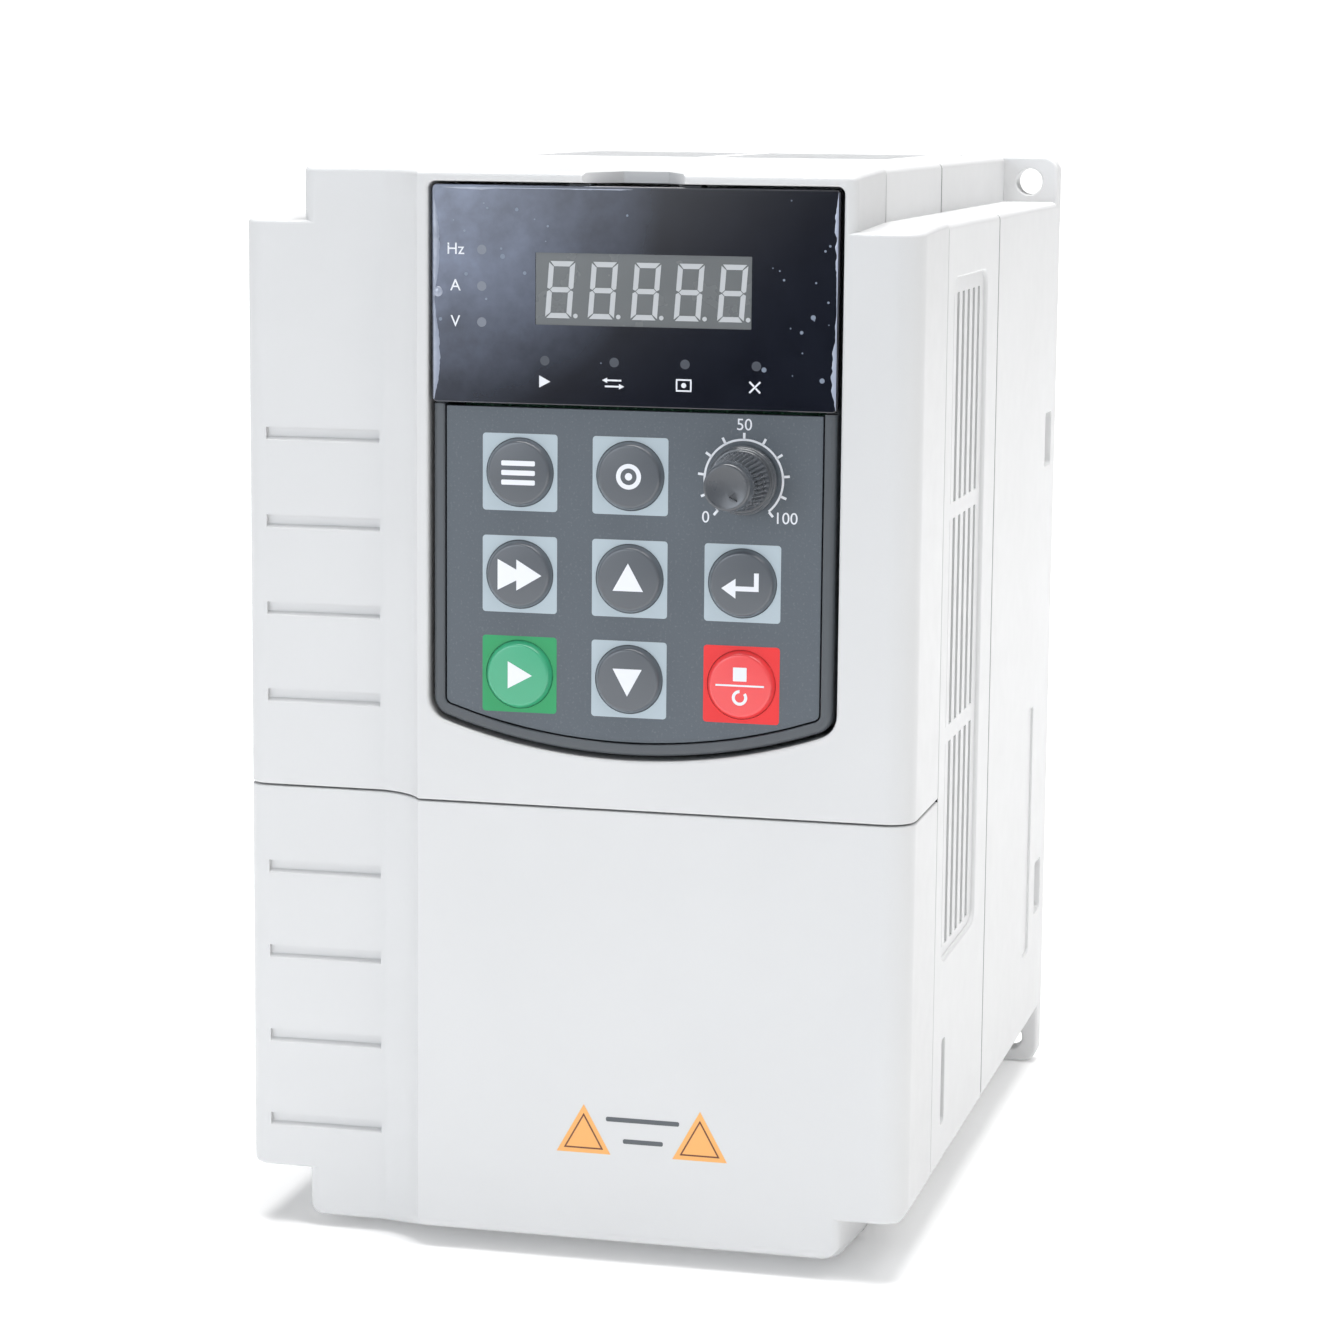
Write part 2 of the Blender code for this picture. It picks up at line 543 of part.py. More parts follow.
def cable_entry():
    low, high = WALL + GAP, WALL + GAP + 2.0
    plate = boxes("cable_plate", [(-44.5, 44.5, ENTRY_DEPTH - 23, ENTRY_DEPTH + 23, low, high)], CASE)
    neck, flange, bore = ENTRY_RADIUS - GAP, ENTRY_RADIUS + 1.6, ENTRY_RADIUS - 2.5
    profile = [(bore, high + 2), (flange, high + 2), (flange, high + GAP), (neck, high + GAP),
               (neck, low - GAP), (flange, low - GAP), (flange, 0.4), (bore, 0.4), (bore, high + 2)]
    for name, x in (("left", -ENTRY_X), ("middle", 0.0), ("right", ENTRY_X)):
        cut(plate, upright("cable_hole_" + name, x, ENTRY_DEPTH, ENTRY_RADIUS, low - OUT, high + OUT))
        place = Matrix.Translation(at(x, ENTRY_DEPTH, 0))
        smooth(turned("grommet_" + name, profile, place, RUBBER, steps=16))


# ---------------------------------------------------------------- cooling fan

def fan_frame():
    half, middle = FAN_SIDE / 2, FAN_DEPTH
    low, high = FAN_Z, FAN_Z + FAN_HEIGHT
    frame = boxes("fan_frame", [(-half, half, middle - half, middle + half, low, high)], DARK)
    cut(frame, upright("fan_throat", 0, middle, half - 1.6, low - OUT, high + OUT, sides=28))
    join(frame, upright("motor_seat", 0, middle, HUB_RADIUS + 0.5, high - 3.0, high - 0.4, sides=20))
    reach, thick, under, over = half - 1, 1.5, high - 2.6, high - 0.8
    join(frame, boxes("spokes_across", [(-reach, reach, middle - thick, middle + thick, under, over)]))
    join(frame, boxes("spokes_along", [(-thick, thick, middle - reach, middle + reach, under, over)]))


def fan_rotor():
    """A hub with pitched blades, with its origin on the axis that it spins about."""
    low, high = FAN_Z + 1.5, FAN_Z + FAN_HEIGHT - 3.6
    rotor = upright("fan_rotor", 0, FAN_DEPTH, HUB_RADIUS, low, high, DARK, sides=20)
    hub = Matrix.Translation(at(0, FAN_DEPTH, FAN_Z + FAN_HEIGHT / 2 - 1.2))
    long, thick, deep = 15.6, 1.4, 14.0
    blade = (Matrix.Translation((19.4 * MM, 0, 0)) @ Matrix.Rotation(math.radians(BLADE_PITCH), 4, "X")
             @ Matrix.Diagonal((long * MM, thick * MM, deep * MM, 1.0)))
    shape = bmesh.new()
    for i in range(BLADES):
        spin = Matrix.Rotation(2 * math.pi * i / BLADES, 4, "Z")
        bmesh.ops.create_cube(shape, size=1.0, matrix=hub @ spin @ blade)
    mesh = bpy.data.meshes.new("fan_blades")
    shape.to_mesh(mesh)
    shape.free()
    join(rotor, keep(mesh, "fan_blades"))
    place_origin(rotor, at(0, FAN_DEPTH, FAN_Z))


def fan_cover():
    under = FAN_Z + FAN_HEIGHT + GAP
    cover = boxes("fan_cover", [(-40, 40, FLANGE + 0.6, 67, under, HEIGHT)], CASE)
    cut(cover, boxes("cover_underside", [(-37.5, 37.5, FLANGE + 3.5, 64.5, under - OUT, HEIGHT - WALL)]))
    slots = [(x, x + 32, d, d + 3.4, under - OUT, HEIGHT + OUT) for x in (-34, 2) for d in range(12, 60, 6)]
    cut(cover, boxes("grille_slots", slots))


def place_origin(item, point):
    """Moves an object's origin to a point on its joint axis, leaving its shape where it is."""
    item.data.transform(Matrix.Translation(-point))
    item.location = point


def carry(name, point, pieces):
    """An empty where a group slides from, which carries the pieces that move together."""
    bpy.context.view_layer.update()
    carrier = bpy.data.objects.new(name, None)
    parts.objects.link(carrier)
    carrier.location = point
    for piece in pieces:
        item = bpy.data.objects[piece]
        item.parent = carrier
        item.matrix_parent_inverse = Matrix.Translation(-point)


rear_chassis()
heatsink()
mid_housing()
upper_cover()
terminal_cover()
keypad_housing()
display_window()
keypad_faceplate()
keys()
speed_knob()
potentiometer()
keypad_board()
display_module()
key_mat()
electronics()
power_terminals()
cable_entry()
fan_frame()
fan_rotor()
fan_cover()
KEYS = ["key_program", "key_function", "key_shift", "key_up", "key_enter", "key_run", "key_down", "key_stop"]
carry("keypad_slide", at(PAD_X, PAD_BACK, 134), KEYS + [
    "keypad_housing", "display_window", "keypad_faceplate", "keypad_board", "keypad_plug", "display_module",
    "key_mat", "potentiometer", "potentiometer_shaft", "speed_knob"])
carry("cover_slide", at(0, COVER_DEPTH, SPLIT_Z / 2), ["terminal_cover"])
carry("fan_slide", at(0, FAN_DEPTH, HEIGHT), ["fan_cover", "fan_frame", "fan_rotor"])
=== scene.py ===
"""The looks of the variable frequency drive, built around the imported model.

X runs to the right, the front faces -Y and Z is up. Lengths in the tables below are millimetres; a
place in front of the wall is its depth, counted from the back face of the casing.
"""

import math
import random

import bmesh
import bpy
from mathutils import Matrix, Vector


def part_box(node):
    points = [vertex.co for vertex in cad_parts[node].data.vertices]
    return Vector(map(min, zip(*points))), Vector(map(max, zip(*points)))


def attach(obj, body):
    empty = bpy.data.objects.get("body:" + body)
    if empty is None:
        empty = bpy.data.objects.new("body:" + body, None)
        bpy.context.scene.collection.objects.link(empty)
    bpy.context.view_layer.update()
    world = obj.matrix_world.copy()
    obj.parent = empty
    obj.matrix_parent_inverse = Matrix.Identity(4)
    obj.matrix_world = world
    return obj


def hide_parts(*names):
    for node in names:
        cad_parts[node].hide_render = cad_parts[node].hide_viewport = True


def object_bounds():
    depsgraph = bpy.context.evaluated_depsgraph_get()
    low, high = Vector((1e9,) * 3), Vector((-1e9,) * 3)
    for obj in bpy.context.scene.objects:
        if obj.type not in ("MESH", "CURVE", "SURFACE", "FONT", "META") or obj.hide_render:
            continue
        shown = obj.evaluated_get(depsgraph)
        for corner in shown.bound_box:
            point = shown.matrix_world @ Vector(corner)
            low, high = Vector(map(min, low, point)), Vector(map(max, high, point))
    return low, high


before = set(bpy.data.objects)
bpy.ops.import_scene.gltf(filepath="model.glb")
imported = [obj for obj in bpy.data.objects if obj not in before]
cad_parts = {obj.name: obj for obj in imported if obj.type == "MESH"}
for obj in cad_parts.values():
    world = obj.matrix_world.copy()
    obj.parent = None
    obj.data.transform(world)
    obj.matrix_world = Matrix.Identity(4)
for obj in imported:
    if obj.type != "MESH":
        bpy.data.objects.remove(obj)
cad_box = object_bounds()

MM = 0.001
WALL_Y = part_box("rear_chassis")[1].y
BODY = "drive_body"


def span(node):
    """A node's box in millimetres: x low and high, depth low and high, z low and high."""
    low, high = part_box(node)
    return (low.x / MM, high.x / MM, (WALL_Y - high.y) / MM, (WALL_Y - low.y) / MM, low.z / MM, high.z / MM)


def centre(node):
    x0, x1, _, _, z0, z1 = span(node)
    return (x0 + x1) / 2, (z0 + z1) / 2


# -------- driving sizes

SIDE = span("upper_cover")[1]
COVER_DEPTH, FACE = span("upper_cover")[2:4]
HEIGHT = span("upper_cover")[5]
SPLIT_LOW, SPLIT_HIGH = span("terminal_cover")[5], span("upper_cover")[4]
CORE_HALF = 48.2  # half width of the middle, taller than the side wings
WING_LOW, WING_HIGH = 10.3, 176.0
CORE_FOOT, WING_FOOT = 3.4, 2.4  # radii of the lower corners, seen from the front
WALL = 2.5
FLANGE = 5.0  # back plate that carries the mounting ears
STRIP = 150.0  # depth of the grooved strip on the left
STEP_X, COVE_RADIUS, COVE_FOOT = -34.2, 12.4, 12.0  # where the strip rises towards the face
TOP_DROP, BOTTOM_RISE = 0.9, 3.6  # slopes of the covers' top and bottom
GROOVE_PITCH, GROOVE_LEFT, GROOVE_RIGHT, GROOVE_DEEP = 15.05, -54.9, -34.6, 1.2
GROOVE_TOP, GROOVE_ROWS = 139.3, (0, 1, 2, 3, 5, 6, 7, 8)  # the fifth place is taken by the joint

PAD_X, PAD_HALF, PAD_TOP, PAD_BASE, PAD_BOW = 11.0, 35.1, 182.4, 86.8, 100.0
PAD_BACK = span("keypad_housing")[2]
PAD_GAP, RIM = 0.8, 2.0
PLATE_BACK, PLATE_FACE = span("keypad_faceplate")[2:4]
WINDOW_LEFT, WINDOW_RIGHT, WINDOW_BACK, WINDOW_FACE, WINDOW_LOW, WINDOW_HIGH = span("display_window")
KEY_TOP = span("key_up")[3]
KEY_RADIUS, KEY_HOLE, PATCH = 5.75, 5.83, 12.9
KNOB_X, KNOB_Z = centre("speed_knob")
KNOB_BACK, KNOB_FACE = span("speed_knob")[2:4]
DIAL_RADIUS, DIAL_SWEEP, DIAL_STEPS = 6.6, 280.0, 10
INK = 0.03  # thickness of a printed layer
LETTER_TALL = 1.9
SEAM = 0.4  # how far the side seams stand open besides the fitting gap
HAIR = 0.02  # keeps two faces from lying in one plane where shapes are joined or cut


# -------- shapes

def at(x, depth, z):
    return Vector((x, 0.0, z)) * MM + Vector((0.0, WALL_Y - depth * MM, 0.0))


LAYS = {
    "front": lambda a, b, h: at(a, h, b),  # outline in X and Z, raised along the depth
    "plan": lambda a, b, h: at(a, b, h),  # outline in X and depth, raised along Z
    "side": lambda a, b, h: at(h, a, b),  # outline in depth and Z, raised along X
}


def rounded(corners, steps=6):
    """A closed outline of the corners (a, b, radius), with an arc where the radius isn't zero."""
    outline = []
    for i, (a, b, radius) in enumerate(corners):
        here = Vector((a, b))
        if radius == 0:
            outline.append((a, b))
            continue
        back = (Vector(corners[i - 1][:2]) - here).normalized()
        ahead = (Vector(corners[(i + 1) % len(corners)][:2]) - here).normalized()
        half = back.angle(ahead) / 2
        middle = here + (back + ahead).normalized() * radius / math.sin(half)
        first = here + back * radius / math.tan(half) - middle
        last = here + ahead * radius / math.tan(half) - middle
        for step in range(steps + 1):
            outline.append(tuple(middle + first.slerp(last, step / steps).normalized() * radius))
    return outline


def rectangle(x0, x1, z0, z1, radius=0.0, steps=5):
    return rounded([(x0, z0, radius), (x1, z0, radius), (x1, z1, radius), (x0, z1, radius)], steps)


def circle(x, z, radius, steps=48):
    turns = (2 * math.pi * i / steps for i in range(steps))
    return [(x + radius * math.cos(t), z + radius * math.sin(t)) for t in turns]


def shrunk(outline, amount):
    """The outline moved inwards by amount, or outwards when it is negative."""
    count = len(outline)
    area = sum(outline[i - 1][0] * outline[i][1] - outline[i][0] * outline[i - 1][1] for i in range(count))
    turn = 1.0 if area > 0 else -1.0
    moved = []
    for i, point in enumerate(outline):
        here = Vector(point)
        along = (here - Vector(outline[i - 1])).normalized()
        onward = (Vector(outline[(i + 1) % count]) - here).normalized()
        first, second = Vector((-along.y, along.x)), Vector((-onward.y, onward.x))
        inward = (first + second).normalized()
        moved.append(tuple(here + inward * turn * amount / max(inward.dot(first), 0.3)))
    return moved


def add(name, data):
    item = bpy.data.objects.new(name, data)
    bpy.context.scene.collection.objects.link(item)
    return item


def make(name, shape):
    mesh = bpy.data.meshes.new(name)
    bmesh.ops.recalc_face_normals(shape, faces=shape.faces)
    shape.to_mesh(mesh)
    shape.free()
    return add(name, mesh)


def stacked(name, rings):
    """A closed solid through rings of points, capped at both ends."""
    shape = bmesh.new()
    rows = [[shape.verts.new(point) for point in ring] for ring in rings]
    count = len(rows[0])
    for row, above in zip(rows, rows[1:]):
        for i in range(count):
            j = (i + 1) % count
            shape.faces.new((row[i], row[j], above[j], above[i]))
    shape.faces.new(rows[0])
    shape.faces.new(rows[-1])
    return make(name, shape)


def moulded(name, outline, lay, low, high, low_edge=0.0, high_edge=0.0, beyond=0.0, steps=4):
    """A solid from low to high with rounded rims; a negative edge flares out, like a cutter's mouth."""
    turns = [math.pi / 2 * i / steps for i in range(steps + 1)]
    foot = [(low + abs(low_edge) * (1 - math.cos(t)), low_edge * (1 - math.sin(t))) for t in turns]
    rim = [(high - abs(high_edge) * (1 - math.sin(t)), high_edge * (1 - math.cos(t))) for t in turns]
    levels = (foot if low_edge else [(low, 0.0)]) + (rim if high_edge else [(high, 0.0)])
    if beyond:
        levels.append((high + beyond, levels[-1][1]))
    put = LAYS[lay]
    rings = [[put(a, b, height) for a, b in (shrunk(outline, inset) if inset else outline)]
             for height, inset in levels]
    return stacked(name, rings)


def turned(name, profile, x, z, steps=64, ripple=None):
    """A solid turned about the depth axis from (radius, depth) points; ripple varies a ring's radius."""
    rings = []
    for radius, depth in profile:
        ring = []
        for i in range(steps):
            t = 2 * math.pi * i / steps
            r = radius if ripple is None else ripple(radius, depth, i, steps)
            ring.append(at(x + r * math.sin(t), depth, z + r * math.cos(t)))
        rings.append(ring)
    return stacked(name, rings)


def combine(item, tool, operation="DIFFERENCE"):
    change = item.modifiers.new("combine", "BOOLEAN")
    change.operation = operation
    change.object = tool
    change.solver = "EXACT"
    settle(item)
    bpy.data.objects.remove(tool)
    return item


def settle(item):
    """Turns an object's modifiers into its mesh."""
    bpy.context.view_layer.update()
    view = bpy.context.evaluated_depsgraph_get()
    mesh = bpy.data.meshes.new_from_object(item.evaluated_get(view))
    item.modifiers.clear()
    item.data = mesh


def weld(item):
    """Closes the hairline cracks that cutting a tilted face leaves."""
    shape = bmesh.new()
    shape.from_mesh(item.data)
    bmesh.ops.remove_doubles(shape, verts=shape.verts, dist=0.002 * MM)
    bmesh.ops.dissolve_degenerate(shape, edges=shape.edges, dist=0.002 * MM)
    loose = [edge for edge in shape.edges if len(edge.link_faces) == 1]
    bmesh.ops.holes_fill(shape, edges=loose, sides=8)
    shape.to_mesh(item.data)
    shape.free()


def merged(name, pieces):
    """Several separate shapes as one object."""
    shape = bmesh.new()
    for piece in pieces:
        shape.from_mesh(piece.data)
        bpy.data.objects.remove(piece)
    return make(name, shape)


def blocks(name, spans):
    """A cutter made of a box for each span (x low, x high, depth low, depth high, z low, z high)."""
    shape = bmesh.new()
    for x0, x1, d0, d1, z0, z1 in spans:
        middle = at((x0 + x1) / 2, (d0 + d1) / 2, (z0 + z1) / 2)
        size = Matrix.Diagonal(((x1 - x0) * MM, (d1 - d0) * MM, (z1 - z0) * MM, 1.0))
        bmesh.ops.create_cube(shape, size=1.0, matrix=Matrix.Translation(middle) @ size)
    return make(name, shape)


def shade(item, angle=32, weighted=True):
    item.data.shade_smooth()
    item.data.set_sharp_from_angle(angle=math.radians(angle))
    if weighted:
        even = item.modifiers.new("even_shading", "WEIGHTED_NORMAL")
        even.keep_sharp = True
        even.weight = 80


def finish(item, look, body, slot, *nodes, angle=32):
    """Shades a piece, gives it its look, ties it to its body and hides the nodes it stands for."""
    shade(item, angle)
    item.data.materials.clear()
    item.data.materials.append(look)
    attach(item, body)
    if nodes:
        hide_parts(*nodes)
    return item


# -------- materials

def calculate(tree, operation, first, second):
    """A sum in a node tree, of two outputs or numbers."""
    node = tree.nodes.new("ShaderNodeMath")
    node.operation = operation
    for socket, value in zip(node.inputs, (first, second)):
        if isinstance(value, (int, float)):
            socket.default_value = value
        else:
            tree.links.new(value, socket)
    return node.outputs[0]


class Look:
    """A material whose colour, gloss and relief come from procedural textures in the object's own space."""

    def __init__(self, name, colour, roughness, metallic=0.0, coat=0.0, coat_roughness=0.05, specular=0.5):
        self.material = bpy.data.materials.new(name)
        self.material.use_nodes = True
        self.tree = self.material.node_tree
        self.shader = self.tree.nodes["Principled BSDF"]
        self.colour = colour
        self.roughness = roughness
        self.put("Base Color", (*colour, 1.0))
        self.put("Roughness", roughness)
        self.put("Metallic", metallic)
        self.put("Coat Weight", coat)
        self.put("Coat Roughness", coat_roughness)
        self.put("Specular IOR Level", specular)
        self.space = self.tree.nodes.new("ShaderNodeTexCoord").outputs["Object"]
        self.relief = None

    def put(self, socket, value):
        self.shader.inputs[socket].default_value = value

    def link(self, source, target):
        self.tree.links.new(source, target)

    def noise(self, scale, detail=3.0, rough=0.5, stretch=None):
        place = self.space
        if stretch:
            mapping = self.tree.nodes.new("ShaderNodeMapping")
            mapping.inputs["Scale"].default_value = stretch
            self.link(place, mapping.inputs["Vector"])
            place = mapping.outputs["Vector"]
        node = self.tree.nodes.new("ShaderNodeTexNoise")
        node.inputs["Scale"].default_value = scale
        node.inputs["Detail"].default_value = detail
        node.inputs["Roughness"].default_value = rough
        self.link(place, node.inputs["Vector"])
        return node.outputs["Fac"]

    def spread(self, source, low, high, new_low, new_high):
        node = self.tree.nodes.new("ShaderNodeMapRange")
        sockets = ("From Min", "From Max", "To Min", "To Max")
        for socket, value in zip(sockets, (low, high, new_low, new_high)):
            node.inputs[socket].default_value = value
        self.link(source, node.inputs["Value"])
        return node.outputs["Result"]

    def blend(self, factor, first, second):
        node = self.tree.nodes.new("ShaderNodeMix")
        node.data_type = "RGBA"
        self.link(factor, node.inputs["Factor"])
        for socket, colour in ((node.inputs[6], first), (node.inputs[7], second)):
            if hasattr(colour, "is_linked"):
                self.link(colour, socket)
            else:
                socket.default_value = (*colour, 1.0)
        self.link(node.outputs[2], self.shader.inputs["Base Color"])
        return node.outputs[2]

    def mottle(self, scale, amount):
        """Slightly uneven colour."""
        dark = tuple(c * (1 - amount) for c in self.colour)
        light = tuple(min(c * (1 + amount), 1.0) for c in self.colour)
        return self.blend(self.spread(self.noise(scale), 0.3, 0.7, 0.0, 1.0), dark, light)

    def uneven_gloss(self, scale, amount):
        low, high = self.roughness - amount, self.roughness + amount
        self.link(self.spread(self.noise(scale), 0.3, 0.7, low, high), self.shader.inputs["Roughness"])

    def raise_by(self, height, depth, strength=1.0):
        """Adds relief of the given depth in millimetres."""
        bump = self.tree.nodes.new("ShaderNodeBump")
        bump.inputs["Strength"].default_value = strength
        bump.inputs["Distance"].default_value = depth * MM
        self.link(height, bump.inputs["Height"])
        if self.relief:
            self.link(self.relief, bump.inputs["Normal"])
        self.relief = bump.outputs["Normal"]
        self.link(self.relief, self.shader.inputs["Normal"])


def plastic(name, colour, roughness, grain=2600.0, depth=0.012, mottle=0.012, coat=0.0, uneven=0.05):
    """Moulded plastic with the fine spark-eroded texture of its tool."""
    look = Look(name, colour, roughness, coat=coat, coat_roughness=0.16)
    look.mottle(35.0, mottle)
    look.uneven_gloss(220.0, uneven)
    look.raise_by(look.noise(grain, 2.0), depth)
    return look.material


def printed_sheet():
    """The keypad's grey film: a pebbled matt surface with tiny lighter flecks."""
    look = Look("printed_film", (0.096, 0.114, 0.134), 0.40)
    flecks = look.spread(look.noise(2400.0, 2.0), 0.58, 0.72, 0.0, 1.0)
    look.blend(flecks, (0.092, 0.110, 0.130), (0.125, 0.143, 0.166))
    look.uneven_gloss(300.0, 0.06)
    look.raise_by(look.noise(1500.0, 3.0), 0.03)
    look.raise_by(look.noise(90.0, 2.0), 0.10)
    return look.material


def window_film():
    """Glossy dark acrylic under its protective film, with a pale bluish patch towards its upper left corner:
    partly haze in the film, partly a painted reflection.
    """
    clear, haze_and_reflection = (0.003, 0.004, 0.009), (0.31, 0.37, 0.53)
    look = Look("window_acrylic", clear, 0.10, coat=1.0, coat_roughness=0.05)
    near = look.tree.nodes.new("ShaderNodeVectorMath")
    near.operation = "DISTANCE"
    near.inputs[1].default_value = at(WINDOW_LEFT, WINDOW_FACE, WINDOW_HIGH)
    look.link(look.space, near.inputs[0])
    # Painted reflection, partly haze: the pale colour fades out from the upper left corner and is broken up
    # by the noise below.
    corner = look.spread(near.outputs["Value"], 0.002, 0.040, 1.0, 0.03)
    cloud = look.spread(look.noise(70.0, 5.0, 0.62), 0.34, 0.80, 0.30, 1.0)
    look.blend(calculate(look.tree, "MULTIPLY", corner, cloud), clear, haze_and_reflection)
    return look.material


def brushed(name, colour, roughness, stretch):
    look = Look(name, colour, roughness, metallic=1.0)
    streaks = look.noise(900.0, 4.0, 0.6, stretch)
    gloss = look.spread(streaks, 0.3, 0.7, roughness - 0.1, roughness + 0.12)
    look.link(gloss, look.shader.inputs["Roughness"])
    look.mottle(50.0, 0.05)
    look.raise_by(streaks, 0.02)
    return look.material


def board_look():
    """Solder mask over copper: straight tracks show through as a lighter green."""
    look = Look("solder_mask", (0.015, 0.16, 0.07), 0.35, coat=0.3)
    tracks = look.tree.nodes.new("ShaderNodeTexBrick")
    for socket, value in (("Scale", 160.0), ("Mortar Size", 0.035), ("Color1", (0.015, 0.16, 0.07, 1)),
                          ("Color2", (0.02, 0.19, 0.085, 1)), ("Mortar", (0.05, 0.30, 0.13, 1))):
        tracks.inputs[socket].default_value = value
    turn = look.tree.nodes.new("ShaderNodeMapping")
    turn.inputs["Rotation"].default_value = (math.pi / 2, 0.0, 0.0)
    look.link(look.space, turn.inputs["Vector"])
    look.link(turn.outputs["Vector"], tracks.inputs["Vector"])
    look.link(tracks.outputs["Color"], look.shader.inputs["Base Color"])
    look.raise_by(tracks.outputs["Fac"], 0.03)
    return look.material


WHITE = plastic("case_white", (0.665, 0.668, 0.672), 0.42)
# A lighter copy of the case white for the housings at the sides and on top: painted light, standing in for
# the brighter light that falls on the sides.
WHITE_PAINTED_LIGHTER = plastic("case_white_painted_lighter", (0.715, 0.718, 0.722), 0.48)
GREY = plastic("keypad_grey", (0.082, 0.092, 0.103), 0.34, mottle=0.03)
KNOB = plastic("knob_grey", (0.070, 0.077, 0.088), 0.28, 2600.0, 0.010, 0.03, 0.6, 0.02)
DARK = plastic("dark_plastic", (0.035, 0.038, 0.042), 0.5, mottle=0.05)
FILM = printed_sheet()
WINDOW = window_film()
KEY = plastic("key_grey", (0.086, 0.097, 0.113), 0.30, 2400.0, 0.006, 0.02, 0.8, 0.01)
PATCH_GREY = plastic("patch_grey", (0.44, 0.52, 0.57), 0.38, mottle=0.015)
GREEN = plastic("key_green", (0.045, 0.38, 0.200), 0.30, 2400.0, 0.006, 0.02, 0.8, 0.01)
RED = plastic("key_red", (0.84, 0.060, 0.066), 0.30, 2400.0, 0.006, 0.02, 0.8, 0.01)
PATCH_GREEN = plastic("patch_green", (0.020, 0.325, 0.115), 0.38, mottle=0.02)
PATCH_RED = plastic("patch_red", (0.80, 0.024, 0.026), 0.38, mottle=0.02)
PRINT_WHITE = plastic("print_white", (0.80, 0.82, 0.87), 0.5, mottle=0.02)
PRINT_GREY = plastic("print_grey", (0.10, 0.11, 0.12), 0.5, mottle=0.03)
ORANGE = plastic("sticker_orange", (0.86, 0.42, 0.12), 0.42, mottle=0.03, coat=0.3)
BROWN = plastic("sticker_line", (0.16, 0.05, 0.025), 0.5, mottle=0.03)
LED_FACE = plastic("led_face", (0.120, 0.130, 0.135), 0.25, mottle=0.04, coat=1.0)
LED_SEGMENT = plastic("led_segment", (0.50, 0.52, 0.54), 0.35, mottle=0.03, coat=1.0)
LED_DOT = plastic("led_dot", (0.042, 0.050, 0.068), 0.3, mottle=0.05, coat=1.0)
# The status dots in the window's pale upper left corner are painted lighter: partly haze, partly a painted
# reflection.
LED_DOT_IN_HAZE_AND_REFLECTION = plastic("led_dot_in_haze_and_reflection", (0.17, 0.19, 0.235), 0.3, mottle=0.05, coat=1.0)
DUST = plastic("dust", (0.20, 0.24, 0.31), 0.6, mottle=0.1)
# Pale colour on the lifted film and its bubble: a painted highlight on clear film.
CRINKLE_HIGHLIGHT = plastic("film_crinkle_highlight", (0.36, 0.40, 0.50), 0.12, 500.0, 0.06, 0.35, 1.0)
ALUMINIUM = brushed("extruded_aluminium", (0.80, 0.80, 0.82), 0.36, (1.0, 1.0, 0.02))
STEEL = brushed("plated_steel", (0.66, 0.65, 0.62), 0.30, (1.0, 1.0, 1.0))
BOARD = board_look()
RUBBER = plastic("rubber", (0.022, 0.022, 0.023), 0.75, grain=1200.0, depth=0.03, mottle=0.05)
SLEEVE = plastic("capacitor_sleeve", (0.012, 0.02, 0.07), 0.32, mottle=0.05, coat=0.3)
BLOCK = plastic("terminal_black", (0.018, 0.018, 0.019), 0.45, mottle=0.05)
BLOCK_GREEN = plastic("terminal_green", (0.02, 0.30, 0.12), 0.4, mottle=0.04)


# -------- covers

def cover_profile(left, right, left_edge, right_edge, back):
    """A cover seen from above: left strip, concave rise and raised face, with rounded outer corners."""
    start = rounded([(left, back, 0), (left, STRIP, left_edge), (STEP_X, STRIP, 0)])[:-1]
    foot = math.radians(COVE_FOOT)
    reach = math.acos(math.cos(foot) - (FACE - STRIP) / COVE_RADIUS)
    turns = [foot + (reach - foot) * i / 10 for i in range(11)]
    cove = [(STEP_X + COVE_RADIUS * (math.sin(t) - math.sin(foot)),
             STRIP + COVE_RADIUS * (math.cos(foot) - math.cos(t))) for t in turns]
    end = rounded([(STEP_X, FACE, 0), (right, FACE, right_edge), (right, back, 0)])[1:]
    return start + cove + end


def wing_profile(back=COVER_DEPTH):
    return cover_profile(-SIDE, SIDE, 4.0, 4.6, back)


def core_profile(back=COVER_DEPTH):
    return cover_profile(-CORE_HALF, CORE_HALF, 2.4, 1.8, back)


def tilt(item, level, change):
    """Tilts the points on a cover's far side of the given level, more towards the front."""
    for vertex in item.data.vertices:
        z = vertex.co.z / MM
        if (z > level) == (change < 0):
            depth = (WALL_Y - vertex.co.y) / MM
            vertex.co.z += change * MM * (depth - COVER_DEPTH) / (FACE - COVER_DEPTH)


def groove(z):
    """A recessed band across the left strip, with an eased lower lip and a shallower left end."""
    low, high, floor_level = z - 1.0, z + 1.0, STRIP - GROOVE_DEEP
    outline = [(STRIP + 1, high), (floor_level, high - 0.1), (floor_level, low + 0.35),
               (STRIP - 0.25, low - 0.08), (STRIP, low - 0.32), (STRIP + 1, low - 0.32)]
    band = moulded("groove", outline, "side", GROOVE_LEFT, GROOVE_RIGHT)
    for vertex in band.data.vertices:
        depth = (WALL_Y - vertex.co.y) / MM
        if vertex.co.x < (GROOVE_LEFT + 1) * MM and depth < STRIP - 0.2:
            vertex.co.y = WALL_Y - (STRIP - 0.2 + 0.5 * (depth - STRIP + 0.2)) * MM
    return band


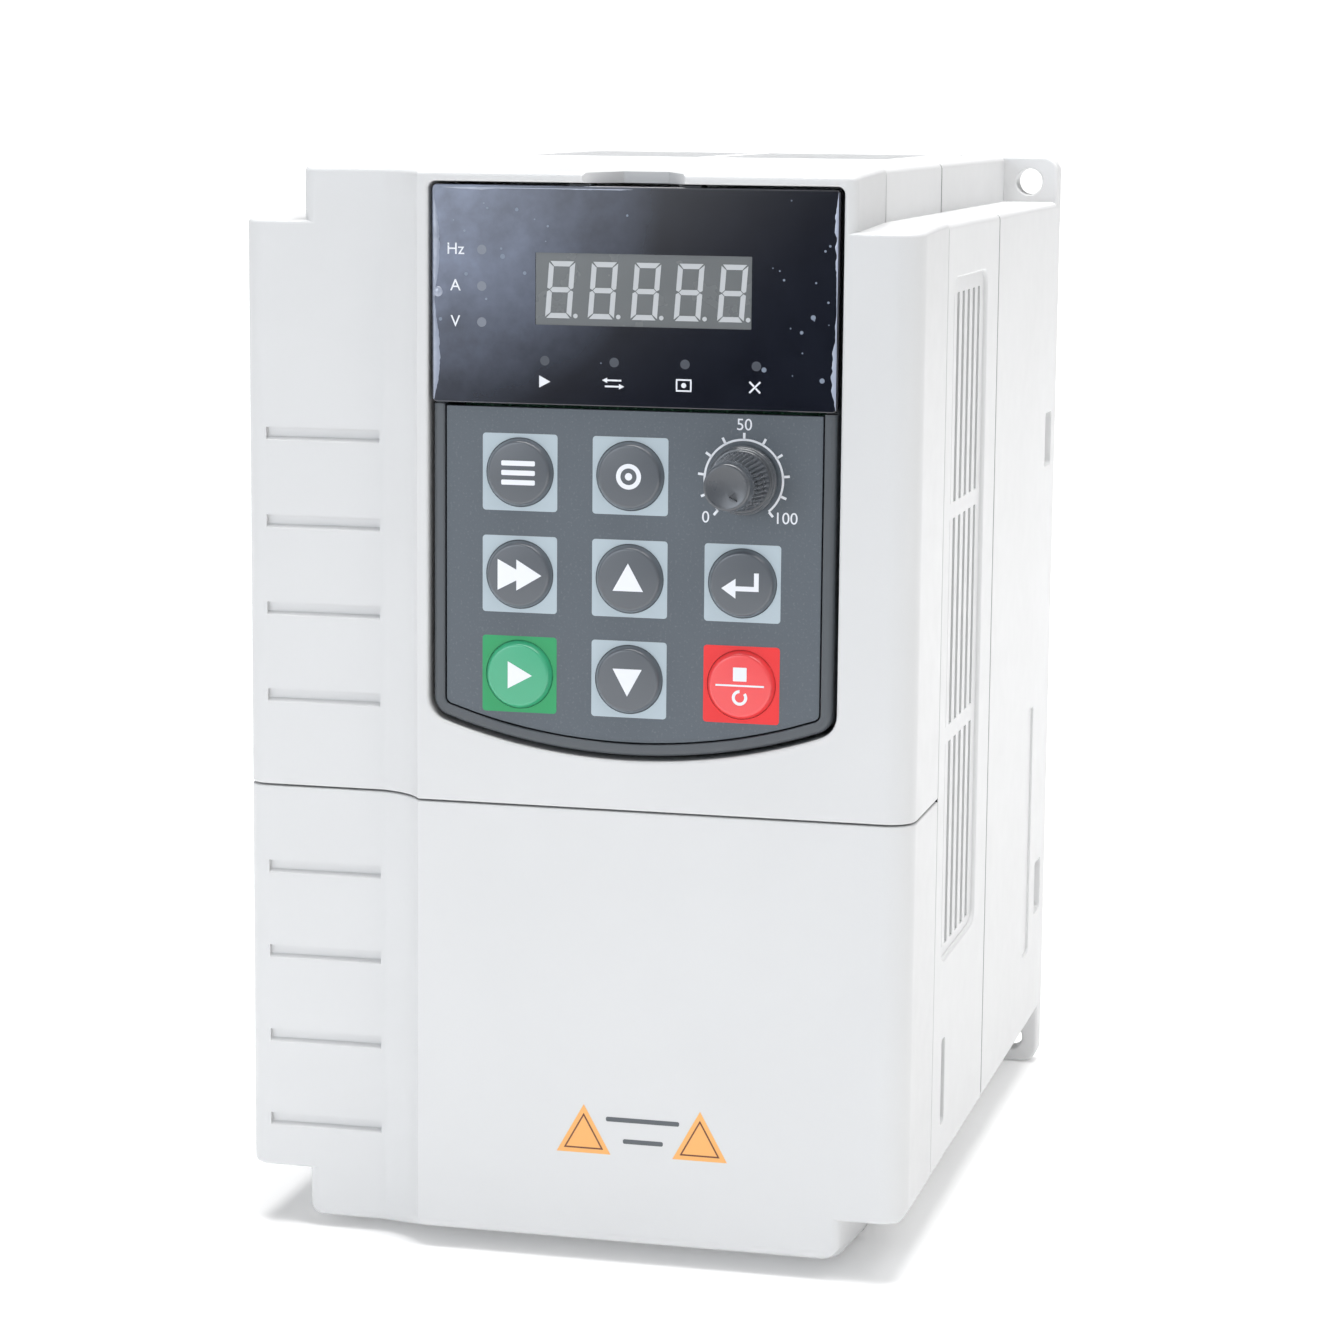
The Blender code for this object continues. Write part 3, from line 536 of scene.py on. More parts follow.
def keypad_outline(inset=0.0, top=PAD_TOP, corner=1.2):
    """The keypad's opening: straight sides, small upper corners and a bowed lower edge."""
    bow, half, turn = PAD_BOW - inset, PAD_HALF - inset, 4.2 - inset

    def low(x):
        return PAD_BASE + PAD_BOW - math.sqrt(bow * bow - x * x)

    reach = half - 5
    edge = [(PAD_X + x, low(x), 0) for x in (-reach + 2 * reach * i / 24 for i in range(25))]
    return rounded([(PAD_X - half, top - inset, corner), (PAD_X - half, low(half), turn)] + edge
                   + [(PAD_X + half, low(half), turn), (PAD_X + half, top - inset, corner)])


def hollow_out(cover, low, high, right, core_low, core_high):
    """Hollows a cover behind its face, and then its core as far as the given right side."""
    behind = COVER_DEPTH - 6
    combine(cover, moulded("hollow", shrunk(wing_profile(behind), WALL), "plan", low, high))
    left, front = WALL - CORE_HALF, STRIP - WALL
    combine(cover, blocks("core_hollow", [(left, right, behind, front, core_low, core_high)]))


def upper_cover():
    low = SPLIT_HIGH
    cover = moulded("upper_cover_shell", wing_profile(), "plan", low, WING_HIGH, 0.35, 0.7)
    tilt(cover, SPLIT_HIGH + 50, -TOP_DROP)
    core = moulded("core", core_profile(), "plan", low, HEIGHT, 0.35, 0.8)
    tilt(core, WING_HIGH, -TOP_DROP)
    combine(cover, core, "UNION")
    left_of_pad = PAD_X - PAD_HALF - 3
    hollow_out(cover, low + WALL, WING_HIGH - WALL, left_of_pad, WING_HIGH - WALL - 1, HEIGHT - WALL)
    half = PAD_HALF + 2.0
    combine(cover, blocks("pocket_block", [(PAD_X - half, PAD_X + half, PAD_BACK - 2.4, FACE - 1.2,
                                            PAD_BASE - 2, HEIGHT - 2.2)]), "UNION")
    combine(cover, moulded("pocket", keypad_outline(), "front", PAD_BACK - 0.3, FACE, 0.0, -0.5, 3.0))
    combine(cover, blocks("plug_port", [(PAD_X - 8, PAD_X + 8, PAD_BACK - 9, PAD_BACK + 2, 119, 131)]))
    bends = [(-9.3, 1.0, 0), (-8.7, 0.0, 0.6), (-3.0, -5.5, 0.6), (4.6, -5.5, 0.6), (8.7, 0.0, 0.6),
             (9.3, 1.0, 0)]
    notch = rounded([(PAD_X + x, FACE + rise, radius) for x, rise, radius in bends], 4)
    combine(cover, moulded("finger_notch", notch, "plan", PAD_TOP - 3, HEIGHT + 5))
    weld(cover)
    for row in GROOVE_ROWS[:4]:
        combine(cover, groove(GROOVE_TOP - row * GROOVE_PITCH))
    finish(cover, WHITE, BODY, "case", "upper_cover")


def corner_frame(half, low, high, radius):
    """A block that leaves a cover rounded lower corners where the two overlap."""
    outline = rounded([(-half - HAIR, low - HAIR, radius), (half + HAIR, low - HAIR, radius),
                       (half + HAIR, high + 5, 0), (-half - HAIR, high + 5, 0)])
    return stacked("corner_frame", [[at(x, depth, z) for x, z in outline]
                                    for depth in (COVER_DEPTH - 1, STRIP, FACE, FACE + 1)])


def raise_foot(item):
    """Slopes the core's underside up to the front, more steeply beyond the grooved strip."""
    for vertex in item.data.vertices:
        if vertex.co.z / MM < WING_LOW:
            depth = (WALL_Y - vertex.co.y) / MM
            share = (depth - COVER_DEPTH) / (STRIP - COVER_DEPTH)
            beyond = (depth - STRIP) / (FACE - STRIP)
            vertex.co.z += BOTTOM_RISE / 2 * MM * (min(share, 1.0) + max(beyond, 0.0))


def terminal_cover():
    high = SPLIT_LOW
    cover = moulded("terminal_cover_shell", wing_profile(), "plan", WING_LOW, high, 0.7, 0.35)
    combine(cover, corner_frame(SIDE, WING_LOW, high, WING_FOOT), "INTERSECT")
    core = moulded("core", core_profile(), "plan", 0.0, high, 1.5, 0.35)
    raise_foot(core)
    frame_cut = corner_frame(CORE_HALF, 0.0, high, CORE_FOOT + 0.4)
    raise_foot(frame_cut)
    combine(core, frame_cut, "INTERSECT")
    combine(cover, core, "UNION")
    hollow_out(cover, WING_LOW + WALL, high + 5, CORE_HALF - WALL, BOTTOM_RISE + WALL, WING_LOW + WALL + 1)
    for row in GROOVE_ROWS[4:]:
        combine(cover, groove(GROOVE_TOP - row * GROOVE_PITCH))
    for side in (-1, 1):
        outline = [(54.0, COVER_DEPTH - 14), (56.0, COVER_DEPTH - 14), (56.0, COVER_DEPTH + 2),
                   (58.0, COVER_DEPTH + 2), (58.0, COVER_DEPTH + 6), (54.0, COVER_DEPTH + 6)]
        combine(cover, moulded("clip", [(side * x, d) for x, d in outline], "plan", 18, 34), "UNION")
    finish(cover, WHITE, "terminal_cover", "case", "terminal_cover")


def casing_outline(inset=0.0):
    """The casing seen from the front: a tall core with a shorter wing on each side."""
    core, side = CORE_HALF - inset, SIDE - inset
    low, high = WING_LOW + inset, WING_HIGH - inset
    core_foot, wing_foot, top = (max(radius - inset, 0.4) for radius in (CORE_FOOT, WING_FOOT, 1.2))
    right = [(core, inset, core_foot), (core, low, 0), (side, low, wing_foot), (side, high, top),
             (core, high, 0), (core, HEIGHT - inset, top)]
    return rounded(right + [(-x, z, r) for x, z, r in reversed(right)], 5)


def mirrored(item):
    """A copy on the other side of the drive."""
    shape = bmesh.new()
    shape.from_mesh(item.data)
    for vertex in shape.verts:
        vertex.co.x = -vertex.co.x
    return make(item.name + "_left", shape)


def cut_both(item, tool):
    other = mirrored(tool)
    combine(item, tool)
    combine(item, other)


def rear_chassis():
    front = span("rear_chassis")[3]
    shell = moulded("rear_chassis_shell", casing_outline(), "front", 0, front, 0.4, 0.3)
    plate = rectangle(-SIDE + HAIR, SIDE - HAIR, HAIR, HEIGHT - HAIR, 3.0)
    combine(shell, moulded("ear_plate", plate, "front", HAIR, FLANGE, 0.4, 0.6), "UNION")
    combine(shell, moulded("hollow", casing_outline(WALL), "front", FLANGE, front + 5))
    combine(shell, moulded("fin_window", rectangle(-43, 43, 13, 150, 2.0), "front", -5, FLANGE + 1))
    combine(shell, blocks("fan_port", [(-40.4, 40.4, FLANGE + 0.2, 67.4, HEIGHT - 6, HEIGHT + 5)]))
    inlets = [(x, x + 36, d, d + 4, -5, WALL + 1) for x in (-39, 3) for d in range(10, 62, 8)]
    combine(shell, blocks("air_inlets", inlets))
    for x in (-53.3, 53.3):
        for z in (5.0, 180.0):
            combine(shell, moulded("ear_hole", circle(x, z, 2.6), "front", -5, FLANGE, 0.0, -0.4, 2.0))
    for d0, d1, z0, z1, deep in ((20.8, 27.7, 27, 77, 0.5), (6, 14, 124, 134.6, 1.2), (6, 14, 33, 43.5, 1.2)):
        relief = rectangle(d0, d1, z0, z1, 0.8)
        cut_both(shell, moulded("relief", relief, "side", SIDE - deep, SIDE + HAIR, 0.0, -0.2, 2.0))
    finish(shell, WHITE_PAINTED_LIGHTER, BODY, "case", "rear_chassis")


def mid_housing():
    back, front = span("mid_housing")[2:4]
    shell = moulded("mid_housing_shell", casing_outline(), "front", back + SEAM, front - SEAM, 0.5, 0.15)
    combine(shell, moulded("hollow", casing_outline(WALL), "front", back - 5, front + 5))
    panel = rectangle(89.5, 124.5, 48.2, 166.5, 3.0)
    cut_both(shell, moulded("vent_panel", panel, "side", SIDE - 0.8, SIDE + HAIR, 0.0, -0.5, 2.0))
    slots = [(-SIDE - 5, SIDE + 5, d - 1.2, d + 1.2, z, z + 36.0)
             for z in (50.0, 89.0, 127.8) for d in (94.5 + 5.33 * i for i in range(6))]
    combine(shell, blocks("vents", slots))
    cut_both(shell, moulded("catch_slot", rectangle(118.5, 122.2, 18.6, 33.8, 0.8), "side", SIDE - 4,
                            SIDE + HAIR, 0.0, -0.2, 2.0))
    combine(shell, blocks("cable_port", [(-41, 41, 85, 125, -5, WALL + 1)]))
    finish(shell, WHITE_PAINTED_LIGHTER, BODY, "case", "mid_housing")


def seam_shade_strips():
    """Dark strips in the seams in front of the middle housing and behind it: painted shade, standing in for
    the shadow inside the gaps.
    """
    back, front = span("mid_housing")[2:4]
    rear = span("rear_chassis")[3]
    for name, low, high in (("front_seam_shade_strip", front - SEAM, COVER_DEPTH), ("rear_seam_shade_strip", rear, back + SEAM)):
        strip = moulded(name, casing_outline(0.12), "front", low + HAIR, high - HAIR)
        combine(strip, moulded("hollow", casing_outline(1.4), "front", low - 5, high + 5))
        finish(strip, RUBBER, BODY, "rubber")


def fan_cover():
    x0, x1, d0, d1, under, top = span("fan_cover")
    shell = moulded("fan_cover_shell", rectangle(x0, x1, d0, d1, 1.5), "plan", under, top, 0.0, 0.6)
    combine(shell, blocks("underside", [(x0 + WALL, x1 - WALL, d0 + 2.9, d1 - WALL, under - 5, top - WALL)]))
    slots = [(x, x + 32, d, d + 3.4, under - 5, top + 5) for x in (-34, 2) for d in range(12, 60, 6)]
    combine(shell, blocks("grille_slots", slots))
    finish(shell, WHITE_PAINTED_LIGHTER, "fan_cassette", "case", "fan_cover")


# -------- keypad

def keypad_rim():
    rim = moulded("keypad_rim", keypad_outline(PAD_GAP), "front", PAD_BACK, PLATE_FACE + 0.3, 0.0, 0.9)
    inner = keypad_outline(PAD_GAP + RIM, corner=0.4)
    combine(rim, moulded("recess", inner, "front", PAD_BACK + 2.4, PLATE_FACE + 0.3, 0.0, -0.25, 2.0))
    seat = [(PAD_X - 50, PAD_X + 50, WINDOW_BACK - 0.3, FACE + 5, WINDOW_LOW - 0.3, HEIGHT + 5)]
    combine(rim, blocks("window_seat", seat))
    combine(rim, blocks("plug_port", [(PAD_X - 7.4, PAD_X + 7.4, PAD_BACK - 3, PAD_BACK + 3, 119.6, 130.4)]))
    finish(rim, GREY, "keypad", "keypad_plastic", "keypad_housing")


KEYS = (("key_program", KEY, PATCH_GREY), ("key_function", KEY, PATCH_GREY), ("key_shift", KEY, PATCH_GREY),
        ("key_up", KEY, PATCH_GREY), ("key_enter", KEY, PATCH_GREY), ("key_run", GREEN, PATCH_GREEN),
        ("key_down", KEY, PATCH_GREY), ("key_stop", RED, PATCH_RED))


def latches():
    """The two dark tongues that hold the keypad under the cover's upper edge."""
    for side, name in ((-1, "latch_left"), (1, "latch_right")):
        x = PAD_X + side * 9.3
        outline = rectangle(x - 1.9, x + 1.9, PAD_TOP - PAD_GAP - 0.3, PAD_TOP - 0.12, 0.2)
        tongue = moulded(name, outline, "front", FACE - 5.0, FACE - 0.9, 0.0, 0.2)
        finish(tongue, DARK, "keypad", "keypad_plastic")


def faceplate():
    inset = PAD_GAP + RIM + 0.25
    outline = keypad_outline(inset, WINDOW_LOW - 0.6 + inset, 0.0)
    plate = moulded("keypad_film", outline, "front", PLATE_BACK, PLATE_FACE, 0.0, 0.12)
    for name, _, _ in KEYS:
        x, z = centre(name)
        hole = moulded("hole", circle(x, z, KEY_HOLE), "front", PLATE_BACK - 2, PLATE_FACE, 0.0, -0.08, 1.0)
        combine(plate, hole)
    combine(plate, moulded("hole", circle(KNOB_X, KNOB_Z, 4.3), "front", PLATE_BACK - 2, PLATE_FACE + 2))
    finish(plate, FILM, "keypad", "faceplate", "keypad_faceplate")


def ink(name, outlines, look, face, body="keypad", slot="faceplate"):
    """A printed layer: thin plates standing just proud of the face below them."""
    plates = [moulded("plate", outline, "front", face - 0.01, face + INK) for outline in outlines]
    return finish(merged(name, plates), look, body, slot)


def patches():
    for name, _, look in KEYS:
        x, z = centre(name)
        half = PATCH / 2
        patch = moulded(name + "_patch", rectangle(x - half, x + half, z - half, z + half, 0.55), "front",
                        PLATE_FACE - 0.01, PLATE_FACE + INK)
        combine(patch, moulded("hole", circle(x, z, KEY_HOLE), "front", PLATE_FACE - 1, PLATE_FACE + 1))
        finish(patch, look, "keypad", "faceplate")


def key_profile(back):
    """A round key from its slightly crowned top down a sloping wall to its foot behind the plate."""
    edge, slope = 0.5, math.radians(58)
    foot, crown = PLATE_FACE + 0.12, KEY_TOP - 0.08
    wall = KEY_RADIUS - (crown - edge * (1 - math.cos(slope)) - foot) / math.tan(slope)
    middle = wall - edge * math.sin(slope)
    profile = [(0.05, KEY_TOP), (1.6, KEY_TOP - 0.005), (3.2, KEY_TOP - 0.03)]
    for i in range(7):
        t = slope * i / 6
        profile.append((middle + edge * math.sin(t), crown - edge * (1 - math.cos(t))))
    flange, behind = KEY_RADIUS + 0.75, PLATE_BACK - 0.3
    return profile + [(KEY_RADIUS, foot), (KEY_RADIUS, behind), (flange, behind), (flange, behind - 0.8),
                      (3.0, behind - 0.8), (3.0, back)]


def keys():
    for name, look, _ in KEYS:
        x, z = centre(name)
        cap = turned(name + "_cap", key_profile(span(name)[2]), x, z)
        slot = {"key_run": "key_green", "key_stop": "key_red"}.get(name, "key")
        finish(cap, look, name, slot, name)


def placed(x, z, points):
    return [(x + a, z + b) for a, b in points]


def bar(x0, z0, x1, z1, width):
    """A straight stroke between two points."""
    along = Vector((x1 - x0, z1 - z0)).normalized() * width / 2
    side = Vector((-along.y, along.x))
    return [(x0 + side.x, z0 + side.y), (x0 - side.x, z0 - side.y), (x1 - side.x, z1 - side.y),
            (x1 + side.x, z1 + side.y)]


def arc(x, z, radius, width, start, end, steps=24):
    """A curved stroke from start to end, in degrees clockwise from the top."""
    turns = [math.radians(start + (end - start) * i / steps) for i in range(steps + 1)]
    outer, inner = ([(x + r * math.sin(t), z + r * math.cos(t)) for t in turns]
                    for r in (radius + width / 2, radius - width / 2))
    return outer + inner[::-1]


def legends():
    """Plain symbols on the keys, where the drive's own keys carry words."""
    marks = {}
    x, z = centre("key_program")
    marks["key_program"] = [rectangle(x - 2.9, x + 2.9, z + rise - 0.42, z + rise + 0.42, 0.2)
                            for rise in (-1.6, 0, 1.6)]
    x, z = centre("key_function")
    marks["key_function"] = [arc(x, z, 1.75, 0.75, 0, 180), arc(x, z, 1.75, 0.75, 180, 360),
                             circle(x, z, 0.62, 24)]
    x, z = centre("key_shift")
    marks["key_shift"] = [placed(x, z, [(-3.5, 2.6), (-3.5, -2.6), (-0.25, -0.9), (-0.25, 0.9)]),
                          placed(x, z, [(-0.25, 2.6), (-0.25, -2.6), (4.1, 0)])]
    x, z = centre("key_up")
    marks["key_up"] = [placed(x, z, [(-2.6, -1.95), (2.6, -1.95), (0, 2.7)])]
    x, z = centre("key_down")
    marks["key_down"] = [placed(x, z, [(-2.5, 1.9), (2.5, 1.9), (0, -2.7)])]
    x, z = centre("key_enter")
    stem = [(-0.9, -0.35), (2.2, -0.35), (2.2, 1.9), (3.0, 1.9), (3.0, -1.15), (-0.9, -1.15)]
    marks["key_enter"] = [placed(x, z, stem), placed(x, z, [(-3.3, -0.75), (-0.9, 0.9), (-0.9, -2.4)])]
    x, z = centre("key_run")
    marks["key_run"] = [placed(x, z, [(-1.7, 2.3), (-1.7, -2.3), (2.5, 0)])]
    x, z = centre("key_stop")
    marks["key_stop"] = [rectangle(x - 1.15, x + 1.15, z + 0.75, z + 3.05, 0.1),
                         rectangle(x - 4.1, x + 4.1, z - 0.14, z + 0.16), arc(x, z - 2.0, 1.05, 0.5, 50, 360)]
    for name, outlines in marks.items():
        ink(name + "_symbol", outlines, PRINT_WHITE, KEY_TOP, name, "key")


def dial():
    """The printed scale round the knob: an arc, eleven ticks and three numbers."""
    half = DIAL_SWEEP / 2
    strokes = [arc(KNOB_X, KNOB_Z, DIAL_RADIUS, 0.36, -half, half, 96)]
    for i in range(DIAL_STEPS + 1):
        t = math.radians(-half + DIAL_SWEEP * i / DIAL_STEPS)
        inner, outer = DIAL_RADIUS + 0.1, DIAL_RADIUS + 1.15
        strokes.append(bar(KNOB_X + inner * math.sin(t), KNOB_Z + inner * math.cos(t),
                           KNOB_X + outer * math.sin(t), KNOB_Z + outer * math.cos(t), 0.42))
    ink("dial_scale", strokes, PRINT_WHITE, PLATE_FACE)
    numbers = (("low", "0", 23.5, 128.1), ("middle", "50", KNOB_X, 143.5), ("high", "100", 37.0, 128.3))
    for place, words, x, z in numbers:
        lettering("dial_number_" + place, words, x, z, LETTER_TALL, PLATE_FACE)


def lettering(name, words, x, z, tall, face):
    """Figures or unit letters, centred on a point, with the given height of a capital."""
    curve = bpy.data.curves.new(name, "FONT")
    curve.body = words
    curve.align_x = "CENTER"
    curve.align_y = "CENTER"
    curve.size = tall * MM / 0.70
    curve.extrude = INK / 2 * MM
    curve.offset = 0.000004
    flat = add(name, curve)
    flat.matrix_world = Matrix.Translation(at(x, face + INK / 2, z)) @ Matrix.Rotation(math.pi / 2, 4, "X")
    bpy.context.view_layer.update()
    mesh = bpy.data.meshes.new_from_object(flat.evaluated_get(bpy.context.evaluated_depsgraph_get()))
    mesh.transform(flat.matrix_world)
    bpy.data.objects.remove(flat)
    shape = bmesh.new()
    shape.from_mesh(mesh)
    bmesh.ops.remove_doubles(shape, verts=shape.verts, dist=1e-7)
    finish(make(name, shape), PRINT_WHITE, "keypad", "faceplate")


def knob():
    """A tapered knob on a smooth flange, with fine ribs round it and a pointer on its face."""
    ribs = 36
    steps = ribs * 6

    def ripple(radius, depth, i, count):
        low, high = KNOB_BACK + 2.2, KNOB_FACE - 2.4
        if not low < depth < high:
            return radius
        fade = min(depth - low, high - depth, 0.5) / 0.5
        return radius - 0.42 * fade * abs(math.cos(math.pi * ribs * i / count)) ** 3

    top = KNOB_FACE
    profile = [(0.05, top - 0.12), (3.0, top - 0.12), (3.25, top - 0.05), (3.45, top), (3.62, top - 0.05),
               (3.78, top - 0.2), (3.86, top - 0.45), (4.12, top - 2.3)]
    low = KNOB_BACK
    for i in range(9):
        share = i / 8
        profile.append((4.14 + 0.72 * share, top - 2.45 - (top - 2.45 - low - 2.25) * share))
    flange = [(4.9, 2.1), (4.92, 1.75), (5.0, 1.65), (5.25, 1.62), (5.35, 1.5), (5.4, 1.1), (5.5, 0.95),
              (5.66, 0.85), (5.72, 0.7), (5.72, 0.1), (5.64, 0.0), (3.2, 0.0), (3.2, 8.0)]
    profile += [(radius, low + rise) for radius, rise in flange]
    body = turned("speed_knob_body", profile, KNOB_X, KNOB_Z, steps, ripple)
    t = math.radians(DIAL_SWEEP / 2)
    x, z = KNOB_X + 2.0 * math.sin(t), KNOB_Z + 2.0 * math.cos(t)
    tip, side = Vector((math.sin(t), math.cos(t))) * 0.95, Vector((math.cos(t), -math.sin(t))) * 0.62
    arrow = [(x + tip.x, z + tip.y), (x - tip.x * 0.6 + side.x, z - tip.y * 0.6 + side.y),
             (x - tip.x * 0.6 - side.x, z - tip.y * 0.6 - side.y)]
    combine(body, moulded("pointer", arrow, "front", top - 0.45, top + 1))
    finish(body, KNOB, "speed_knob", "knob", "speed_knob")


# -------- display

LED_BOX = (-5.6, 30.95, 159.1, 170.97)
DIGIT_LOW, DIGIT_HIGH, DIGIT_WIDE, DIGIT_FIRST, DIGIT_PITCH, DIGITS = 160.25, 169.6, 5.15, -3.95, 7.28, 5
STROKE, SLANT = 0.85, 0.075
UNITS_X = -19.35
SYMBOL_Z, SYMBOLS_X = 149.75, (-4.07, 7.76, 19.72, 31.65)
UNIT_LIGHTS = 3  # the ones in a column on the left, beside the unit letters
LIGHTS = [(-14.8, 171.25), (-14.8, 165.25), (-14.8, 159.3)] + [(x, 153.2) for x in (-3.92, 7.92, 19.9, 31.87)]


def display():
    outline = rectangle(WINDOW_LEFT + 0.3, WINDOW_RIGHT - 0.3, WINDOW_LOW, WINDOW_HIGH, 0.8)
    window = moulded("display_panel", outline, "front", WINDOW_BACK, WINDOW_FACE, 0.0, 0.22)
    x0, x1, z0, z1 = LED_BOX
    combine(window, moulded("aperture", rectangle(x0, x1, z0, z1, 0.15), "front", WINDOW_FACE - 0.35,
                            WINDOW_FACE + 1))
    finish(window, WINDOW, "keypad", "window", "display_window")
    face = WINDOW_FACE - 0.12
    outline = rectangle(x0 + 0.03, x1 - 0.03, z0 + 0.03, z1 - 0.03, 0.12)
    readout = moulded("led_display_face", outline, "front", WINDOW_FACE - 0.34, face)
    finish(readout, LED_FACE, "keypad", "window")
    for i in range(DIGITS):
        left = DIGIT_FIRST + i * DIGIT_PITCH
        point = circle(left + DIGIT_WIDE + 0.05, DIGIT_LOW + 0.42, 0.38, 20)
        ink(f"led_digit_{i + 1}", seven_segments(left) + [point], LED_SEGMENT, face, "keypad", "window")
    for i, (x, z) in enumerate(LIGHTS):
        # The first dots sit in the pale corner and take the lighter colour: partly haze, partly a painted
        # reflection.
        look = LED_DOT_IN_HAZE_AND_REFLECTION if i < UNIT_LIGHTS else LED_DOT
        ink(f"status_light_{i + 1}", [circle(x, z, 0.8, 28)], look, WINDOW_FACE, "keypad", "window")


def film_edge(name, start, end, seed, widest, lean):
    """A crinkled sliver where the window's protective film has lifted along an edge, coloured pale as a
    painted highlight on the clear film.
    """
    draw = random.Random(seed)
    start, end = Vector(start), Vector(end)
    along = (end - start).normalized()
    inward = Vector((-along.y, along.x))
    count = int((end - start).length / 0.45)
    rings = []
    wide = 0.3
    for i in range(count + 1):
        share = i / count
        wide = min(max(wide + draw.uniform(-0.16, 0.16), 0.08), 1.0)
        fade = min(1.0, 8 * share + 0.2, 8.2 - 8 * share)
        reach = (0.12 + widest * wide * abs(math.sin(lean + 5.2 * share))) * fade
        lift = 0.03 + draw.uniform(0.0, 0.09) * wide
        edge = start + (end - start) * share
        top = edge + inward * reach * 0.45
        tip = edge + inward * reach
        rings.append([at(edge.x, WINDOW_FACE - 0.02, edge.y), at(edge.x, WINDOW_FACE + 0.02, edge.y),
                      at(top.x, WINDOW_FACE + lift, top.y), at(tip.x, WINDOW_FACE + 0.01, tip.y),
                      at(tip.x, WINDOW_FACE - 0.02, tip.y)])
    finish(stacked(name, rings), CRINKLE_HIGHLIGHT, "keypad", "window", angle=70)


def protective_film():
    """Lifted edges, a bubble and specks of dust on the film that still covers the window; the edges and the
    bubble carry a painted highlight.
    """
    x0, x1, z0, z1 = WINDOW_LEFT + 0.55, WINDOW_RIGHT - 0.55, WINDOW_LOW + 0.5, WINDOW_HIGH - 0.45
    film_edge("film_edge_left", (x0, z1), (x0, z0), 3, 1.1, 0.4)
    film_edge("film_edge_top", (x0 + 34, z1), (x0 + 1, z1), 8, 0.35, 0.9)
    film_edge("film_edge_right", (x1, z0), (x1, z1), 5, 1.3, 0.75)
    bubble = [(0.05, 0.24), (0.35, 0.22), (0.62, 0.15), (0.8, 0.05), (0.85, -0.02), (0.05, -0.02)]
    item = turned("film_bubble", [(r, WINDOW_FACE + h) for r, h in bubble], x0 + 0.75, 164.2, 28)
    finish(item, CRINKLE_HIGHLIGHT, "keypad", "window")
    draw = random.Random(21)
    specks = []
    while len(specks) < 34:
        x, z = draw.uniform(x0 + 1, x1 - 1), draw.uniform(z0 + 1, z1 - 1)
        corner = math.hypot(x - x0, z - z1) < 24 or x > x1 - 14
        on_readout = LED_BOX[0] - 1 < x < LED_BOX[1] + 1 and LED_BOX[2] - 1 < z < LED_BOX[3] + 1
        if on_readout or not corner and len(specks) % 5:
            continue
        specks.append(circle(x, z, draw.choice((0.1, 0.13, 0.16, 0.2, 0.3, 0.42)), 12))
    ink("film_dust", specks, DUST, WINDOW_FACE, "keypad", "window")


def seven_segments(left):
    """The seven mitred bars of one slanted digit."""
    low, high, wide = DIGIT_LOW, DIGIT_HIGH, DIGIT_WIDE - SLANT * (DIGIT_HIGH - DIGIT_LOW)
    middle, s, gap = (low + high) / 2, STROKE, 0.09

    def lean(points):
        return [(left + x + SLANT * (z - low), z) for x, z in points]

    h = s / 2
    tip = gap + h * 0.3
    bars = [[(tip, high), (wide - tip, high), (wide - s - gap, high - s), (s + gap, high - s)],
            [(s + gap, low + s), (wide - s - gap, low + s), (wide - tip, low), (tip, low)],
            [(h + gap, middle), (s + gap, middle + h), (wide - s - gap, middle + h), (wide - h - gap, middle),
             (wide - s - gap, middle - h), (s + gap, middle - h)]]
    for side in (0, 1):
        for end in (low, high):
            away = 1 if end == high else -1
            points = [(0, end - away * tip), (s, end - away * (s + gap)), (s, middle + away * (h + gap)),
                      (h, middle + away * gap), (0, middle + away * (gap + h * 0.5))]
            bars.append([(wide - x if side else x, z) for x, z in points])
    return [lean(points) for points in bars]


def labels():
    """Unit letters and small symbols printed beside the status lights."""
    for name, words, z in (("unit_frequency", "Hz", 171.25), ("unit_current", "A", 165.25),
                           ("unit_voltage", "V", 159.3)):
        lettering(name, words, UNITS_X, z, LETTER_TALL, WINDOW_FACE)
    z = SYMBOL_Z
    run, direction, local, fault = SYMBOLS_X
    symbols = {"run": [placed(run, z, [(-0.8, 1.0), (-0.8, -1.0), (1.1, 0)])]}
    x = direction
    symbols["direction"] = [bar(x - 1.0, z + 0.5, x + 1.4, z + 0.5, 0.28),
                            placed(x, z, [(-1.0, 0.95), (-1.0, 0.05), (-1.9, 0.5)]),
                            bar(x - 1.4, z - 0.5, x + 1.0, z - 0.5, 0.28),
                            placed(x, z, [(1.0, -0.05), (1.0, -0.95), (1.9, -0.5)])]
    x = local
    symbols["local"] = [bar(x - 1.3, z + rise, x + 1.3, z + rise, 0.26) for rise in (0.9, -0.9)]
    symbols["local"] += [bar(x + side, z - 0.77, x + side, z + 0.77, 0.26) for side in (-1.2, 1.2)]
    symbols["local"].append(circle(x, z, 0.42, 20))
    x = fault
    symbols["fault"] = [bar(x - 0.9, z - 0.9, x + 0.9, z + 0.9, 0.3),
                        bar(x - 0.9, z + 0.9, x - 0.15, z + 0.15, 0.3),
                        bar(x + 0.15, z - 0.15, x + 0.9, z - 0.9, 0.3)]
    for name, outlines in symbols.items():
        ink("light_symbol_" + name, outlines, PRINT_WHITE, WINDOW_FACE)


